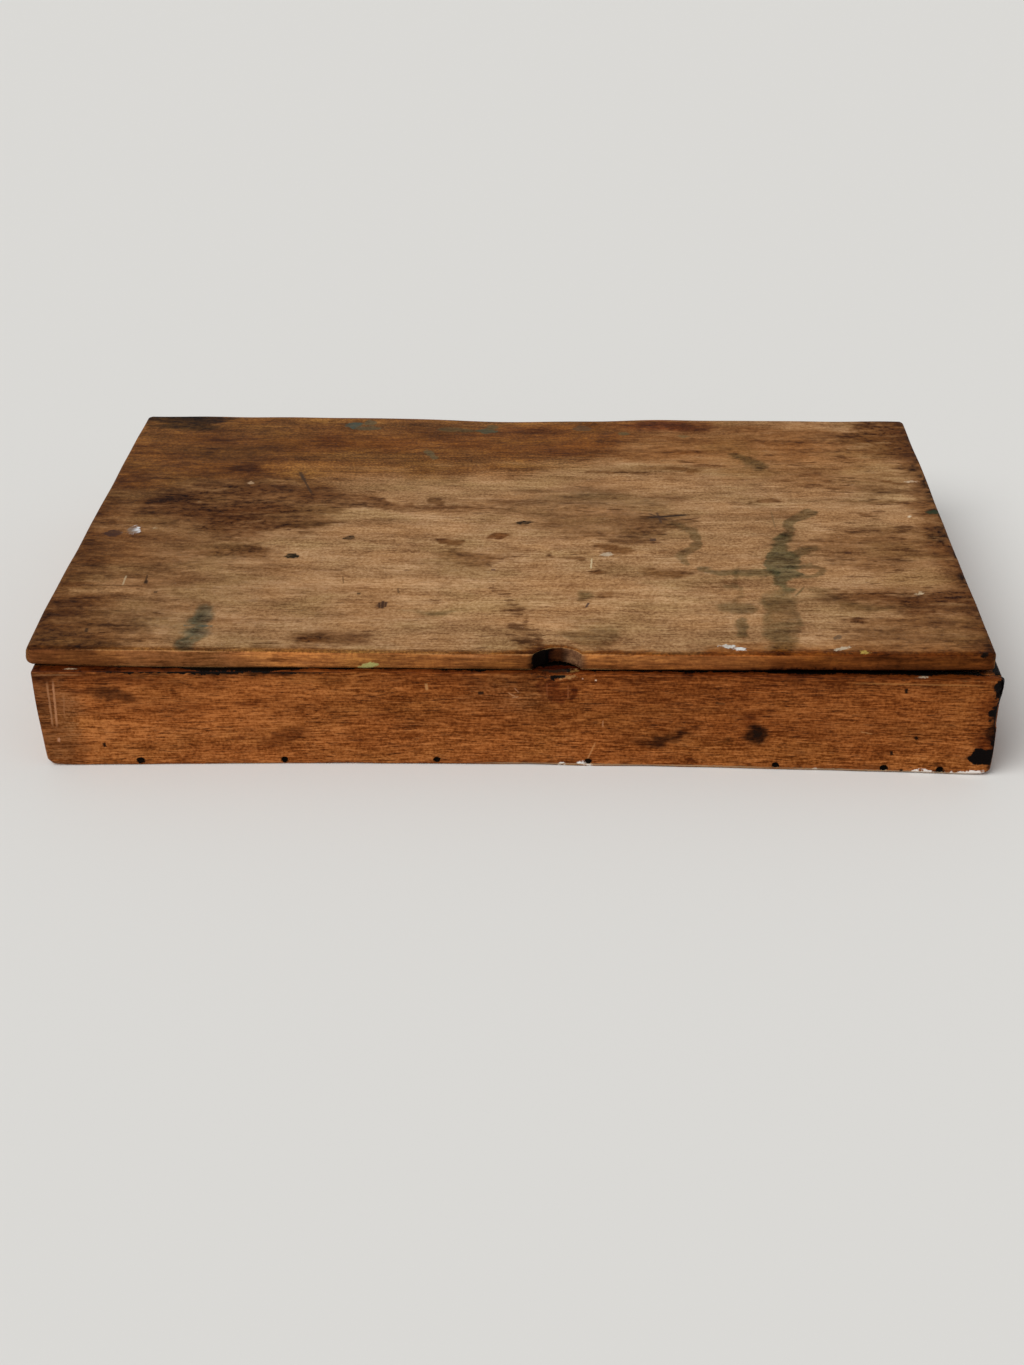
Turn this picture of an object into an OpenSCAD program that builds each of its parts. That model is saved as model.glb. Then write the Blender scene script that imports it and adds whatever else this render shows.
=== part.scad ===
// Wooden art box: a shallow nailed case with inner dividers and a board lid on two butt hinges.
// The origin is the middle of the case's footprint, with the front at -Y and +Z up.

/* [Case] */
// Width of the case, end to end
case_w = 406; // [300:1:520]
// Depth of the case, front to back
case_d = 261; // [190:1:340]
// Height of the case without its lid
case_h = 47; // [38:0.5:80]
// Thickness of the front, back and end boards
board_t = 9.5; // [8:0.5:14]
// Thickness of the bottom board, let in between the sides
bottom_t = 4.5; // [3.5:0.5:8]
// Wood left outside the end boards where the front and back boards are rabbeted
corner_lip = 4.5; // [3:0.5:6]
// How far the front board has bowed inwards at its middle
front_bow = 4.8; // [0:0.1:8]
// Clearance round the bottom board and in the dividers' grooves
wood_fit = 0.1; // [0.05:0.05:0.3]

/* [Lid] */
// Thickness of the lid board
lid_t = 7.5; // [6:0.5:14]
// How far the lid's front edge has shrunk back from the front of the case
lid_setback = 5; // [0:0.5:12]
// How far the lid sits to the left of the case
lid_shift = 3; // [0:0.5:6]
// Radius of the lid's corners, seen from above
lid_corner_r = 4; // [1:0.5:10]
// Width of the thumb notch in the lid's front edge
notch_w = 20.5; // [14:0.5:30]
// Depth of the thumb notch
notch_depth = 6; // [4:0.5:9]
// Middle of the thumb notch, to the right of the middle of the case
notch_x = 18.5; // [-80:0.5:80]
// Width of the worn thumb scoop in the rim under the notch
scoop_w = 18; // [13:0.5:26]
// Height of the thumb scoop
scoop_h = 4; // [2:0.5:6]

/* [Lid cleats] */
// Width of each cleat under the lid
cleat_w = 22; // [14:1:40]
// Thickness of each cleat
cleat_t = 8; // [6:0.5:12]
// From the end of the lid to the middle of a cleat
cleat_inset = 80; // [50:1:110]
// Space between the ends of a cleat and the inside of the case
cleat_end_gap = 12; // [4:1:30]
// Bevel on the lower ends of a cleat
cleat_bevel = 4; // [1:0.5:5]

/* [Dividers] */
// Thickness of the dividers
divider_t = 6; // [4:0.5:10]
// Depth of the brush tray, from the front board to the long divider
brush_tray_d = 66; // [40:1:100]
// Depth of the grooves that hold the dividers' ends
groove_depth = 2; // [1:0.5:3]
// Space between the tops of the dividers and the lid's cleats
divider_clear = 6; // [2:0.5:12]

/* [Hinges] */
// Length of a hinge
hinge_l = 38; // [28:1:60]
// From the end of the case to the middle of a hinge
hinge_inset = 70; // [45:1:100]
// Thickness of a hinge leaf
leaf_t = 1.2; // [0.9:0.1:2]
// Depth of the mortises that let the leaves into the rim and the lid
leaf_mortise = 0.55; // [0.2:0.05:0.8]
// Space between the two leaves of a closed hinge
leaf_gap = 0.3; // [0.2:0.05:0.6]
// Wood left between a leaf and the inside of the back board
leaf_lip = 1.5; // [1:0.25:3]
// Clearance round a leaf in its mortise
leaf_fit = 0.2; // [0.1:0.05:0.5]
// Number of knuckles in a hinge
knuckles = 5; // [3:2:7]
// Space between neighbouring knuckles
knuckle_gap = 0.3; // [0.2:0.05:0.5]
// Diameter of the hinge pin
pin_d = 2.4; // [1.6:0.1:3.2]
// Clearance between the pin and the knuckles, all round
pin_clear = 0.05; // [0.02:0.01:0.1]
// Thickness of the peened head at each end of the pin
pin_head_t = 0.6; // [0.4:0.1:1.2]
// How far a pin head stands out past the pin, all round
pin_head_rim = 0.6; // [0.3:0.1:1]
// Space between the knuckles and the wood
barrel_clear = 0.4; // [0.3:0.05:1]

/* [Nails and screws] */
// Length of a nail
nail_l = 20; // [16:1:30]
// Diameter of a nail
nail_d = 1.4; // [1:0.1:2]
// Diameter of a nail's head
nail_head_d = 2.4; // [2:0.1:3.2]
// Thickness of a nail's head
nail_head_t = 0.8; // [0.5:0.1:1.5]
// How far the nail heads are punched below the surface
nail_set = 0.3; // [0.1:0.1:1]
// Clearance round the nails and screws
nail_fit = 0.05; // [0.02:0.01:0.1]
// From the top and the base of the case to the outer corner nails
corner_nail_margin = 8; // [7:0.5:12]
// From the ends of a board to its outer bottom nails
bottom_nail_margin = 34; // [24:1:60]
// Diameter of a screw
screw_d = 2.2; // [1.6:0.1:2.6]
// Diameter of a screw's head
screw_head_d = 4.2; // [3.6:0.1:5]
// Length of the screws in the rim
rim_screw_l = 12; // [9:1:20]
// From the end of a hinge to its outer screws
screw_edge = 6.5; // [4:0.5:9]
// Wood left over the tips of the screws in the lid
screw_cover = 1.5; // [1:0.25:3]
// Depth of a screw head below the surface
screw_set = 0.1; // [0.05:0.05:0.3]
// Width of a screw's slot
slot_w = 0.6; // [0.4:0.1:1]
// Depth of a screw's slot
slot_depth = 0.5; // [0.3:0.1:0.8]
// From the ends of a cleat to its outer screws
cleat_screw_margin = 24; // [15:1:40]

/* [Hidden] */
$fn = 64;
past = 1;
bow_steps = 24;
corner_nail_count = 3;
back_nail_count = 7;
end_nail_count = 4;
cleat_screw_count = 3;
// Places of the front board's hand-driven nails, as shares of its length from the left
front_nail_shares = [0.103, 0.256, 0.418, 0.579, 0.776, 0.889, 0.947];

front_y = -case_d / 2;
back_y = case_d / 2;
in_w = case_w - 2 * board_t;
back_in_y = back_y - board_t;
front_in_y = front_y + board_t + front_bow;

// A closed hinge holds the lid off the rim by what its leaves stand proud of their mortises
lid_gap = 2 * (leaf_t - leaf_mortise) + leaf_gap;
lid_z = case_h + lid_gap;
lid_front_y = front_y + lid_setback;
notch_r = (pow(notch_w / 2, 2) + pow(notch_depth, 2)) / (2 * notch_depth);
scoop_out = (pow(scoop_w / 2, 2) - pow(scoop_h, 2)) / (2 * scoop_h);
scoop_r = sqrt(pow(scoop_out, 2) + pow(scoop_out + scoop_h, 2));

divider_top = lid_z - cleat_t - divider_clear;
long_divider_y = front_in_y + brush_tray_d;
bay_pitch = in_w / 4;

cleat_front_y = front_in_y + cleat_end_gap;
cleat_back_y = back_in_y - cleat_end_gap;
cleat_x = case_w / 2 - cleat_inset;

hinge_x = case_w / 2 - hinge_inset;
barrel_r = pin_d / 2 + pin_clear + leaf_t;
hinge_y = back_y + barrel_r + barrel_clear;
hinge_z = case_h + lid_gap / 2;
leaf_reach = board_t - leaf_lip;
leaf_screw_y = back_y - leaf_reach / 2;
knuckle_l = (hinge_l - (knuckles - 1) * knuckle_gap) / knuckles;
screw_head_h = (screw_head_d - screw_d) / 2;
lid_screw_l = leaf_t + lid_t - leaf_mortise - screw_cover;
cleat_screw_l = cleat_t + lid_t - screw_cover;

varnished = [0.50, 0.28, 0.13];
worn = [0.55, 0.42, 0.27];
bare = [0.62, 0.46, 0.29];
iron = [0.18, 0.15, 0.13];
brass = [0.60, 0.47, 0.24];

// How far the front board's faces lie behind a straight line between its ends
function bow(x) = front_bow * (1 - pow(2 * x / case_w, 2));

// Evenly spaced places from low to high
function spread(low, high, count) = [for (i = [0 : count - 1]) low + i * (high - low) / (count - 1)];

// Points along the bowed front, a distance behind its outer face
function bowed_line(half_w, behind) = [
    for (x = spread(-half_w, half_w, bow_steps + 1)) [x, front_y + bow(x) + behind]
];

function reversed(list) = [for (i = [len(list) - 1 : -1 : 0]) list[i]];

// A nail driven along +Y from a surface at y = 0
module nail() {
    rotate([-90, 0, 0]) {
        translate([0, 0, nail_set]) cylinder(d = nail_head_d, h = nail_head_t);
        translate([0, 0, nail_set]) cylinder(d = nail_d, h = nail_l - nail_set);
    }
}

// The hole that such a nail makes
module nail_hole() {
    rotate([-90, 0, 0]) {
        translate([0, 0, -past])
            cylinder(d = nail_head_d + 2 * nail_fit, h = past + nail_set + nail_head_t + nail_fit);
        cylinder(d = nail_d + 2 * nail_fit, h = nail_l + nail_fit);
    }
}

// A slotted countersunk screw driven along -Z from a surface at z = 0
module screw(length) {
    translate([0, 0, -screw_set]) difference() {
        union() {
            translate([0, 0, -screw_head_h]) cylinder(d1 = screw_d, d2 = screw_head_d, h = screw_head_h);
            translate([0, 0, screw_set - length]) cylinder(d = screw_d, h = length - screw_set - screw_head_h);
        }
        translate([-screw_head_d, -slot_w / 2, -slot_depth]) cube([2 * screw_head_d, slot_w, slot_depth + past]);
    }
}

// The countersunk hole that such a screw makes
module screw_hole(length) {
    hole_head_d = screw_head_d + 2 * nail_fit;
    translate([0, 0, -screw_set - screw_head_h])
        cylinder(d1 = screw_d + 2 * nail_fit, d2 = hole_head_d, h = screw_head_h);
    translate([0, 0, -screw_set]) cylinder(d = hole_head_d, h = screw_set + past);
    translate([0, 0, -length - nail_fit]) cylinder(d = screw_d + 2 * nail_fit, h = length + nail_fit);
}

// Places of the nails through the front board into the bottom
module at_front_nails() {
    for (share = front_nail_shares) {
        x = (share - 0.5) * case_w;
        translate([x, front_y + bow(x), bottom_t / 2]) children();
    }
}

// Places of the nails through the back board into the bottom
module at_back_nails() {
    for (x = spread(-case_w / 2 + bottom_nail_margin, case_w / 2 - bottom_nail_margin, back_nail_count))
        translate([x, back_y, bottom_t / 2]) rotate([0, 0, 180]) children();
}

// Places of the nails through an end board into the bottom, side -1 on the left and 1 on the right
module at_end_nails(side) {
    for (y = spread(front_y + bottom_nail_margin, back_y - bottom_nail_margin, end_nail_count))
        translate([side * case_w / 2, y, bottom_t / 2]) rotate([0, 0, side * 90]) children();
}

// Places of the nails through the front board's ends, or the back board's, into the end boards
module at_corner_nails(front) {
    for (side = [-1, 1], z = spread(corner_nail_margin, case_h - corner_nail_margin, corner_nail_count)) {
        x = side * (case_w - board_t) / 2;
        y = front ? front_y + bow(x) : back_y;
        translate([x, y, z]) rotate([0, 0, front ? 0 : 180]) children();
    }
}

// Rabbets at both ends of the front board, or of the back board
module corner_rabbets(front) {
    depth = board_t - corner_lip + front_bow + past;
    y = front ? front_y + corner_lip : back_y - corner_lip - depth;
    for (side = [-1, 1])
        translate([side * (in_w / 2 + board_t / 2 + past / 2), y + depth / 2, case_h / 2])
            cube([board_t + past, depth, case_h + 2 * past], center = true);
}

// Places of the screws of one hinge, in the middle of its leaves
module at_leaf_screws(side) {
    for (end = [-1, 1])
        translate([side * hinge_x + end * (hinge_l / 2 - screw_edge), leaf_screw_y, hinge_z]) children();
}

// Mortise of one hinge leaf, open at the back, between two heights
module leaf_mortise_cut(side, low, high) {
    width = hinge_l + 2 * leaf_fit;
    translate([side * hinge_x - width / 2, back_y - leaf_reach - leaf_fit, low])
        cube([width, leaf_reach + leaf_fit + past, high - low]);
}

module front_board() {
    outer = bowed_line(case_w / 2, 0);
    inner = bowed_line(case_w / 2, board_t);
    color(varnished) difference() {
        linear_extrude(case_h) polygon(concat(outer, reversed(inner)));
        corner_rabbets(true);
        translate([notch_x, front_y + bow(notch_x) - scoop_out, case_h + scoop_out]) sphere(scoop_r);
        at_front_nails() nail_hole();
        at_corner_nails(true) nail_hole();
    }
}

module back_board() {
    color(varnished) difference() {
        translate([-case_w / 2, back_in_y, 0]) cube([case_w, board_t, case_h]);
        corner_rabbets(false);
        for (bay = [-1 : 1]) translate([bay * bay_pitch, 0, 0]) cross_grooves();
        for (side = [-1, 1]) {
            leaf_mortise_cut(side, case_h - leaf_mortise, case_h + past);
            at_leaf_screws(side) translate([0, 0, -leaf_gap / 2]) screw_hole(rim_screw_l);
        }
        at_back_nails() nail_hole();
        at_corner_nails(false) nail_hole();
    }
}

module end_board(side) {
    length = case_d - 2 * corner_lip;
    color(varnished) difference() {
        translate([side * (in_w + board_t) / 2, 0, case_h / 2])
            cube([board_t, length, case_h], center = true);
        long_groove();
        at_end_nails(side) nail_hole();
        at_corner_nails(true) nail_hole();
        at_corner_nails(false) nail_hole();
    }
}

// Grooves across the case for the ends of the long divider
module long_groove() {
    width = in_w + 2 * groove_depth;
    translate([-width / 2, long_divider_y - wood_fit, bottom_t])
        cube([width, divider_t + 2 * wood_fit, case_h - bottom_t + past]);
}

// Grooves in the long divider and the back board for one cross divider
module cross_grooves() {
    low_y = long_divider_y + divider_t - groove_depth;
    translate([-divider_t / 2 - wood_fit, low_y, bottom_t])
        cube([divider_t + 2 * wood_fit, back_in_y + groove_depth - low_y, case_h - bottom_t + past]);
}

module bottom_board() {
    half_w = in_w / 2 - wood_fit;
    back_edge = back_in_y - wood_fit;
    color(bare) difference() {
        linear_extrude(bottom_t) polygon(concat(
            bowed_line(half_w, board_t + wood_fit),
            [[half_w, back_edge], [-half_w, back_edge]]
        ));
        at_front_nails() nail_hole();
        at_back_nails() nail_hole();
        for (side = [-1, 1]) at_end_nails(side) nail_hole();
    }
}

module long_divider() {
    width = in_w + 2 * (groove_depth - wood_fit);
    color(bare) difference() {
        translate([-width / 2, long_divider_y, bottom_t])
            cube([width, divider_t, divider_top - bottom_t]);
        for (bay = [-1 : 1]) translate([bay * bay_pitch, 0, 0]) cross_grooves();
    }
}

module cross_divider(bay) {
    low_y = long_divider_y + divider_t - groove_depth + wood_fit;
    high_y = back_in_y + groove_depth - wood_fit;
    color(bare) translate([bay * bay_pitch - divider_t / 2, low_y, bottom_t])
        cube([divider_t, high_y - low_y, divider_top - bottom_t]);
}

module corner_nails() {
    color(iron) {
        at_corner_nails(true) nail();
        at_corner_nails(false) nail();
    }
}

module bottom_nails() {
    color(iron) {
        at_front_nails() nail();
        at_back_nails() nail();
        for (side = [-1, 1]) at_end_nails(side) nail();
    }
}

// Knuckles of one hinge, every second one from the first
module hinge_knuckles(first, radius, extra) {
    for (k = [first : 2 : knuckles - 1])
        translate([k * (knuckle_l + knuckle_gap) - hinge_l / 2 - extra, 0, 0])
            rotate([0, 90, 0]) cylinder(r = radius, h = knuckle_l + 2 * extra);
}

// One leaf with its plate below the hinge's axis, which lies along X through the origin
module hinge_leaf(first, screw_length) {
    other = 1 - first;
    plate_d = hinge_y - back_y + leaf_reach;
    difference() {
        union() {
            difference() {
                translate([-hinge_l / 2, -plate_d, -leaf_gap / 2 - leaf_t]) cube([hinge_l, plate_d, leaf_t]);
                hinge_knuckles(other, barrel_r + barrel_clear, knuckle_gap);
            }
            hinge_knuckles(first, barrel_r, 0);
        }
        rotate([0, 90, 0]) cylinder(d = pin_d + 2 * pin_clear, h = hinge_l + 2 * past, center = true);
        for (end = [-1, 1])
            translate([end * (hinge_l / 2 - screw_edge), leaf_screw_y - hinge_y, -leaf_gap / 2])
                screw_hole(screw_length);
    }
}

module hinge_case_leaf(side) {
    color(brass) translate([side * hinge_x, hinge_y, hinge_z]) hinge_leaf(0, rim_screw_l);
}

module hinge_lid_leaf(side) {
    color(brass) translate([side * hinge_x, hinge_y, hinge_z]) mirror([0, 0, 1]) hinge_leaf(1, lid_screw_l);
}

module hinge_pin(side) {
    head_d = pin_d + 2 * pin_head_rim;
    color(brass) translate([side * hinge_x, hinge_y, hinge_z]) rotate([0, 90, 0]) {
        cylinder(d = pin_d, h = hinge_l + 2 * pin_clear, center = true);
        for (end = [0, 1]) mirror([0, 0, end])
            translate([0, 0, hinge_l / 2 + pin_clear]) cylinder(d = head_d, h = pin_head_t);
    }
}

module hinge_case_screws() {
    color(brass) for (side = [-1, 1])
        at_leaf_screws(side) translate([0, 0, -leaf_gap / 2]) screw(rim_screw_l);
}

module hinge_lid_screws() {
    color(brass) for (side = [-1, 1])
        at_leaf_screws(side) mirror([0, 0, 1]) translate([0, 0, -leaf_gap / 2]) screw(lid_screw_l);
}

// Outline of the lid, with rounded corners
module lid_outline() {
    depth = case_d - lid_setback;
    translate([-lid_shift, lid_front_y + depth / 2]) {
        square([case_w - 2 * lid_corner_r, depth], center = true);
        square([case_w, depth - 2 * lid_corner_r], center = true);
        for (sx = [-1, 1], sy = [-1, 1])
            translate([sx * (case_w / 2 - lid_corner_r), sy * (depth / 2 - lid_corner_r)])
                circle(lid_corner_r);
    }
}

module lid_board() {
    color(worn) difference() {
        translate([0, 0, lid_z]) linear_extrude(lid_t) lid_outline();
        translate([notch_x, lid_front_y + notch_depth - notch_r, lid_z - past])
            cylinder(r = notch_r, h = lid_t + 2 * past);
        for (side = [-1, 1]) {
            leaf_mortise_cut(side, lid_z - past, lid_z + leaf_mortise);
            at_leaf_screws(side) mirror([0, 0, 1]) translate([0, 0, -leaf_gap / 2]) screw_hole(lid_screw_l);
        }
        at_cleat_screws() screw_hole(cleat_screw_l);
    }
}

// Places of the screws that are driven up through both cleats
module at_cleat_screws() {
    low = cleat_front_y + cleat_screw_margin;
    high = cleat_back_y - cleat_screw_margin;
    for (side = [-1, 1], y = spread(low, high, cleat_screw_count))
        translate([side * cleat_x - lid_shift, y, lid_z - cleat_t]) mirror([0, 0, 1]) children();
}

module lid_cleat(side) {
    color(bare) difference() {
        translate([side * cleat_x - lid_shift - cleat_w / 2, 0, lid_z])
            rotate([90, 0, 90]) linear_extrude(cleat_w) polygon([
                [cleat_front_y, 0],
                [cleat_front_y, cleat_bevel - cleat_t],
                [cleat_front_y + cleat_bevel, -cleat_t],
                [cleat_back_y - cleat_bevel, -cleat_t],
                [cleat_back_y, cleat_bevel - cleat_t],
                [cleat_back_y, 0]
            ]);
        at_cleat_screws() screw_hole(cleat_screw_l);
    }
}

module cleat_screws() {
    color(brass) at_cleat_screws() screw(cleat_screw_l);
}

front_board();
back_board();
end_board(-1);  // left_end_board
end_board(1);  // right_end_board
bottom_board();
long_divider();
cross_divider(-1);  // left_cross_divider
cross_divider(0);  // middle_cross_divider
cross_divider(1);  // right_cross_divider
corner_nails();
bottom_nails();
hinge_case_leaf(-1);  // left_hinge_case_leaf
hinge_case_leaf(1);  // right_hinge_case_leaf
hinge_pin(-1);  // left_hinge_pin
hinge_pin(1);  // right_hinge_pin
hinge_case_screws();
lid_board();
lid_cleat(-1);  // left_lid_cleat
lid_cleat(1);  // right_lid_cleat
cleat_screws();
hinge_lid_leaf(-1);  // left_hinge_lid_leaf
hinge_lid_leaf(1);  // right_hinge_lid_leaf
hinge_lid_screws();
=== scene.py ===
import bpy
import numpy as np
from mathutils import Matrix, Vector


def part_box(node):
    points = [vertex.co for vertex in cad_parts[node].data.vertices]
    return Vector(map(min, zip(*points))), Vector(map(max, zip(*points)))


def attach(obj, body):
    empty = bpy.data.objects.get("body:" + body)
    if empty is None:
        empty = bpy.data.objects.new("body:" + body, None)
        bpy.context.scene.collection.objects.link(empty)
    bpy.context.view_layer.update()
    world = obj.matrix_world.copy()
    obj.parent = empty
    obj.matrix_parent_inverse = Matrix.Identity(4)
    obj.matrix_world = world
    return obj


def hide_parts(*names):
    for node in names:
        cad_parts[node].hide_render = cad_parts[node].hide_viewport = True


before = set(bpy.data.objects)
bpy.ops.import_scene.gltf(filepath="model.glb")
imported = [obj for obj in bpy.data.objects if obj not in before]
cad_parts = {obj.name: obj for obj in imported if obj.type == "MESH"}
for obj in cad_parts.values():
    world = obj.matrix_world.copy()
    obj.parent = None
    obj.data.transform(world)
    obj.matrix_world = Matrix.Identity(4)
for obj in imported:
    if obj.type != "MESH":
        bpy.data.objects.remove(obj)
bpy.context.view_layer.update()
scene = bpy.context.scene
mm = 0.001  # every size below is in millimetres
tiny = 1e-6  # lengths and covers below this count as none
deepest = 6.0  # a point's depth in a mark is told no further than this, in or out


def tone(code):
    # a colour as it looks on screen, six hex digits, turned into the linear values that shaders use
    part = np.array([int(code[i:i + 2], 16) for i in (0, 2, 4)]) / 255
    return np.where(part < 0.04045, part / 12.92, ((part + 0.055) / 1.055) ** 2.4)


def paint(code):
    return (*tone(code), 1)


def boxOf(node):
    low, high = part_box(node)
    return (np.array(low) / mm).round(3), (np.array(high) / mm).round(3)


def ease(value, low, high):
    # 0 below low, 1 above high, and a smooth S between them
    share = np.clip((value - low) / (high - low), 0, 1)
    return share * share * (3 - 2 * share)


def onPlane(value, plane):
    # 1 for the points that lie on a face of a board's box, 0 for the others
    return (np.abs(value - plane) < tiny) * 1.0


def ripple(points, size, seed, waves=16):
    # sine waves about size mm long in seeded directions, added up; most of it lies between -1 and 1
    draw = np.random.default_rng(seed)
    heading = draw.normal(size=(waves, points.shape[1]))
    heading /= np.linalg.norm(heading, axis=1, keepdims=True)
    heading *= 2 * np.pi / size * draw.uniform(0.6, 1.7, (waves, 1))
    phase = draw.uniform(0, 2 * np.pi, waves)
    return np.sin(points @ heading.T + phase).sum(1) / np.sqrt(waves)


def wander(points, amounts, seed):
    # shifts of the two coordinates on a face, so that outlines drawn there come out ragged
    shift = np.zeros((len(points), 2))
    for count, (size, far, near) in enumerate(amounts):
        shift[:, 0] += far * ripple(points, size, seed + 2 * count)
        shift[:, 1] += near * ripple(points, size, seed + 2 * count + 1)
    return points[:, :2] + shift


# Boards: every board is a box of grid lines, whose points are moved to make the worn one

def gridLines(low, high, edge, step, fine=(), through=(), closest=0.08):
    # even lines, four through each rounded edge, close ones at fine places, one through each small mark
    rim = edge * (1 - np.tan(np.radians([45, 30, 15, 0])))
    inside = np.linspace(low + edge, high - edge, int(np.ceil((high - low - 2 * edge) / step)) + 1)[1:-1]
    for at in through:
        nearest = np.argmin(np.abs(inside - at))
        inside[nearest] = at
    for at, reach, gap in fine:
        inside = inside[np.abs(inside - at) > reach]
        inside = np.append(inside, np.arange(at - reach, at + reach + gap / 2, gap))
    lines = np.unique(np.concatenate([low + rim, inside, high - rim]).clip(low, high).round(3))
    keep = np.append(True, np.diff(lines) > closest)
    keep[-1] = True
    return lines[keep]


def boardShell(low, high, plan):
    # the points of a three-way grid that lie on the outside of its box, and the quads that join them
    fine = plan.get("fine", {})
    through = plan.get("through", {})
    lines = [
        gridLines(low[a], high[a], plan["edge"], plan["step"][a], fine.get(a, ()), through.get(a, ()))
        for a in range(3)
    ]
    outside = np.zeros([len(line) for line in lines], bool)
    for axis in range(3):
        layers = np.moveaxis(outside, axis, 0)
        layers[0] = layers[-1] = True
    number = np.full(outside.shape, -1)
    number[outside] = np.arange(outside.sum())
    points = np.stack(np.meshgrid(*lines, indexing="ij"), -1)[outside]
    quads = []
    for axis in range(3):
        layers = np.moveaxis(number, axis, 0)
        for end in (0, -1):
            face = layers[end]
            quad = np.stack([face[:-1, :-1], face[1:, :-1], face[1:, 1:], face[:-1, 1:]], -1).reshape(-1, 4)
            inward = (end == 0) != (axis == 1)
            quads.append(quad[:, ::-1] if inward else quad)
    return points, np.concatenate(quads)


def roundEdges(points, low, high, radius):
    # a point goes to the ball of the edge's radius round the nearest point of the box less that radius
    radius = radius[:, None]
    core = np.clip(points, low + radius, high - radius)
    out = points - core
    return core + out * radius / np.maximum(np.linalg.norm(out, axis=1, keepdims=True), 1e-9)


def roundCorners(points, low, high, radius):
    # seen from above, the square at each corner is drawn in to a quarter disc
    core = np.clip(points[:, :2], low[:2] + radius, high[:2] - radius)
    out = points[:, :2] - core
    length = np.maximum(np.linalg.norm(out, axis=1), 1e-9)
    points[:, :2] = core + out * (np.abs(out).max(1) / length)[:, None]
    return points


def toEdge(flat, low, high):
    # distance from a point on a box to its nearest edge: the second smallest distance to a face
    return np.sort(np.minimum(flat - low, high - flat), axis=1)[:, 1]


def sinkHoles(points, on, u, v, holes, axis, depth, radius, rim=(0.85, 1.35)):
    # presses a face in round each nail or screw, with a soft rim, so that its head shows
    for a, b in holes:
        gap = np.hypot(u - a, v - b)
        points[:, axis] += depth * on * (1 - ease(gap, radius * rim[0], radius * rim[1]))


def smallMarks(blots, first, second, limit=2.5):
    # where grid lines have to pass, so that no small mark is lost between them
    small = [blot for blot in blots.values() if min(blot[2], blot[3]) < limit]
    return {first: [blot[0] for blot in small], second: [blot[1] for blot in small]}


# Stains tint the wood and bleed along its grain, marks lie on it with a clear edge

def patchDepth(u, v, x, y, longHalf, wideHalf, turn=0):
    # how deep a point lies inside a turned ellipse: 1 less its distance in half widths,
    # times the smaller half
    c, s = np.cos(np.radians(turn)), np.sin(np.radians(turn))
    along = ((u - x) * c + (v - y) * s) / longHalf
    across = ((v - y) * c - (u - x) * s) / wideHalf
    return (1 - np.hypot(along, across)) * min(longHalf, wideHalf)


def strokeDepth(u, v, path, halves):
    # how deep a point lies inside a stroke: the half width there less the distance to the path
    depth = np.full(u.shape, -99.0)
    for (x0, y0), (x1, y1), h0, h1 in zip(path, path[1:], halves, halves[1:]):
        dx, dy = x1 - x0, y1 - y0
        share = np.clip(((u - x0) * dx + (v - y0) * dy) / (dx * dx + dy * dy), 0, 1)
        gap = np.hypot(u - x0 - share * dx, v - y0 - share * dy)
        depth = np.maximum(depth, h0 + (h1 - h0) * share - gap)
    return depth


def newFields(flat, low, high, seed, reach=1.4):
    # attributes of a clean board; edge is 1 on an arris and falls off over its reach
    count = len(flat)
    worn = np.exp(-toEdge(flat, low, high) / reach)
    return {
        "varnish": np.ones(count),
        "edge": worn * (0.75 + 0.45 * ripple(flat, 38, seed)).clip(0, 1.3),
        "stainTint": np.ones((count, 3)),
        "stainCover": np.zeros(count),
        "markTone": np.zeros((count, 3)),
        "markDepth": np.full(count, -deepest),
        "markCover": np.zeros(count),
        "outer": np.ones(count),
        "dashes": np.zeros(count),
    }


# Tints that a stain multiplies the wood's colour by
tints = {
    "cloud": (0.45, 0.31, 0.20),
    "umber": (0.60, 0.49, 0.37),
    "soot": (0.06, 0.045, 0.02),
    "char": (0.18, 0.14, 0.13),
    "dust": (0.80, 0.94, 1.25),
    "olive": (0.56, 0.60, 0.52),
    "grey": (0.62, 0.62, 0.62),
    "rust": (0.60, 0.32, 0.19),
    "scar": (0.44, 0.26, 0.18),
    "amber": (0.88, 0.66, 0.40),
    "green": (0.48, 0.61, 0.60),
    "teal": (0.46, 0.62, 0.74),
    "smoke": (0.44, 0.50, 0.46),
    "ash": (0.40, 0.56, 1.10),
    "glow": (1.82, 1.62, 1.71),
    "ember": (0.56, 0.48, 0.39),
    "pale": (1.18, 1.18, 1.16),
}


def soak(fields, cover, name, strength):
    # where two stains meet, their tints multiply
    tint = 1 - strength * (1 - np.array(tints[name]))
    old, had = fields["stainTint"], fields["stainCover"]
    both = had + cover - had * cover
    blend = (had * (1 - cover))[:, None] * old
    blend += (cover * (1 - had))[:, None] * tint
    blend += (cover * had)[:, None] * old * tint
    fields["stainTint"] = np.where(both[:, None] > tiny, blend / np.maximum(both, tiny)[:, None], 1.0)
    fields["stainCover"] = both


def layStains(fields, on, u, v, stains, small=12, thick=1.25):
    # small ones are laid thick, so that the ragged edge doesn't eat them up
    for x, y, longHalf, wideHalf, tint, strength, soft, *turn in stains.values():
        cover = ease(patchDepth(u, v, x, y, longHalf, wideHalf, *turn), -soft, soft) * on
        soak(fields, cover, tint, strength)
        if longHalf < small:
            fields["stainCover"] = np.maximum(fields["stainCover"], thick * cover)


def layWashes(fields, on, u, v, washes, thick=1.3):
    for path, halves, tint, strength, soft in washes.values():
        cover = ease(strokeDepth(u, v, path, halves), -soft, soft) * on
        soak(fields, cover, tint, strength)
        fields["stainCover"] = np.maximum(fields["stainCover"], thick * cover)


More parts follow.
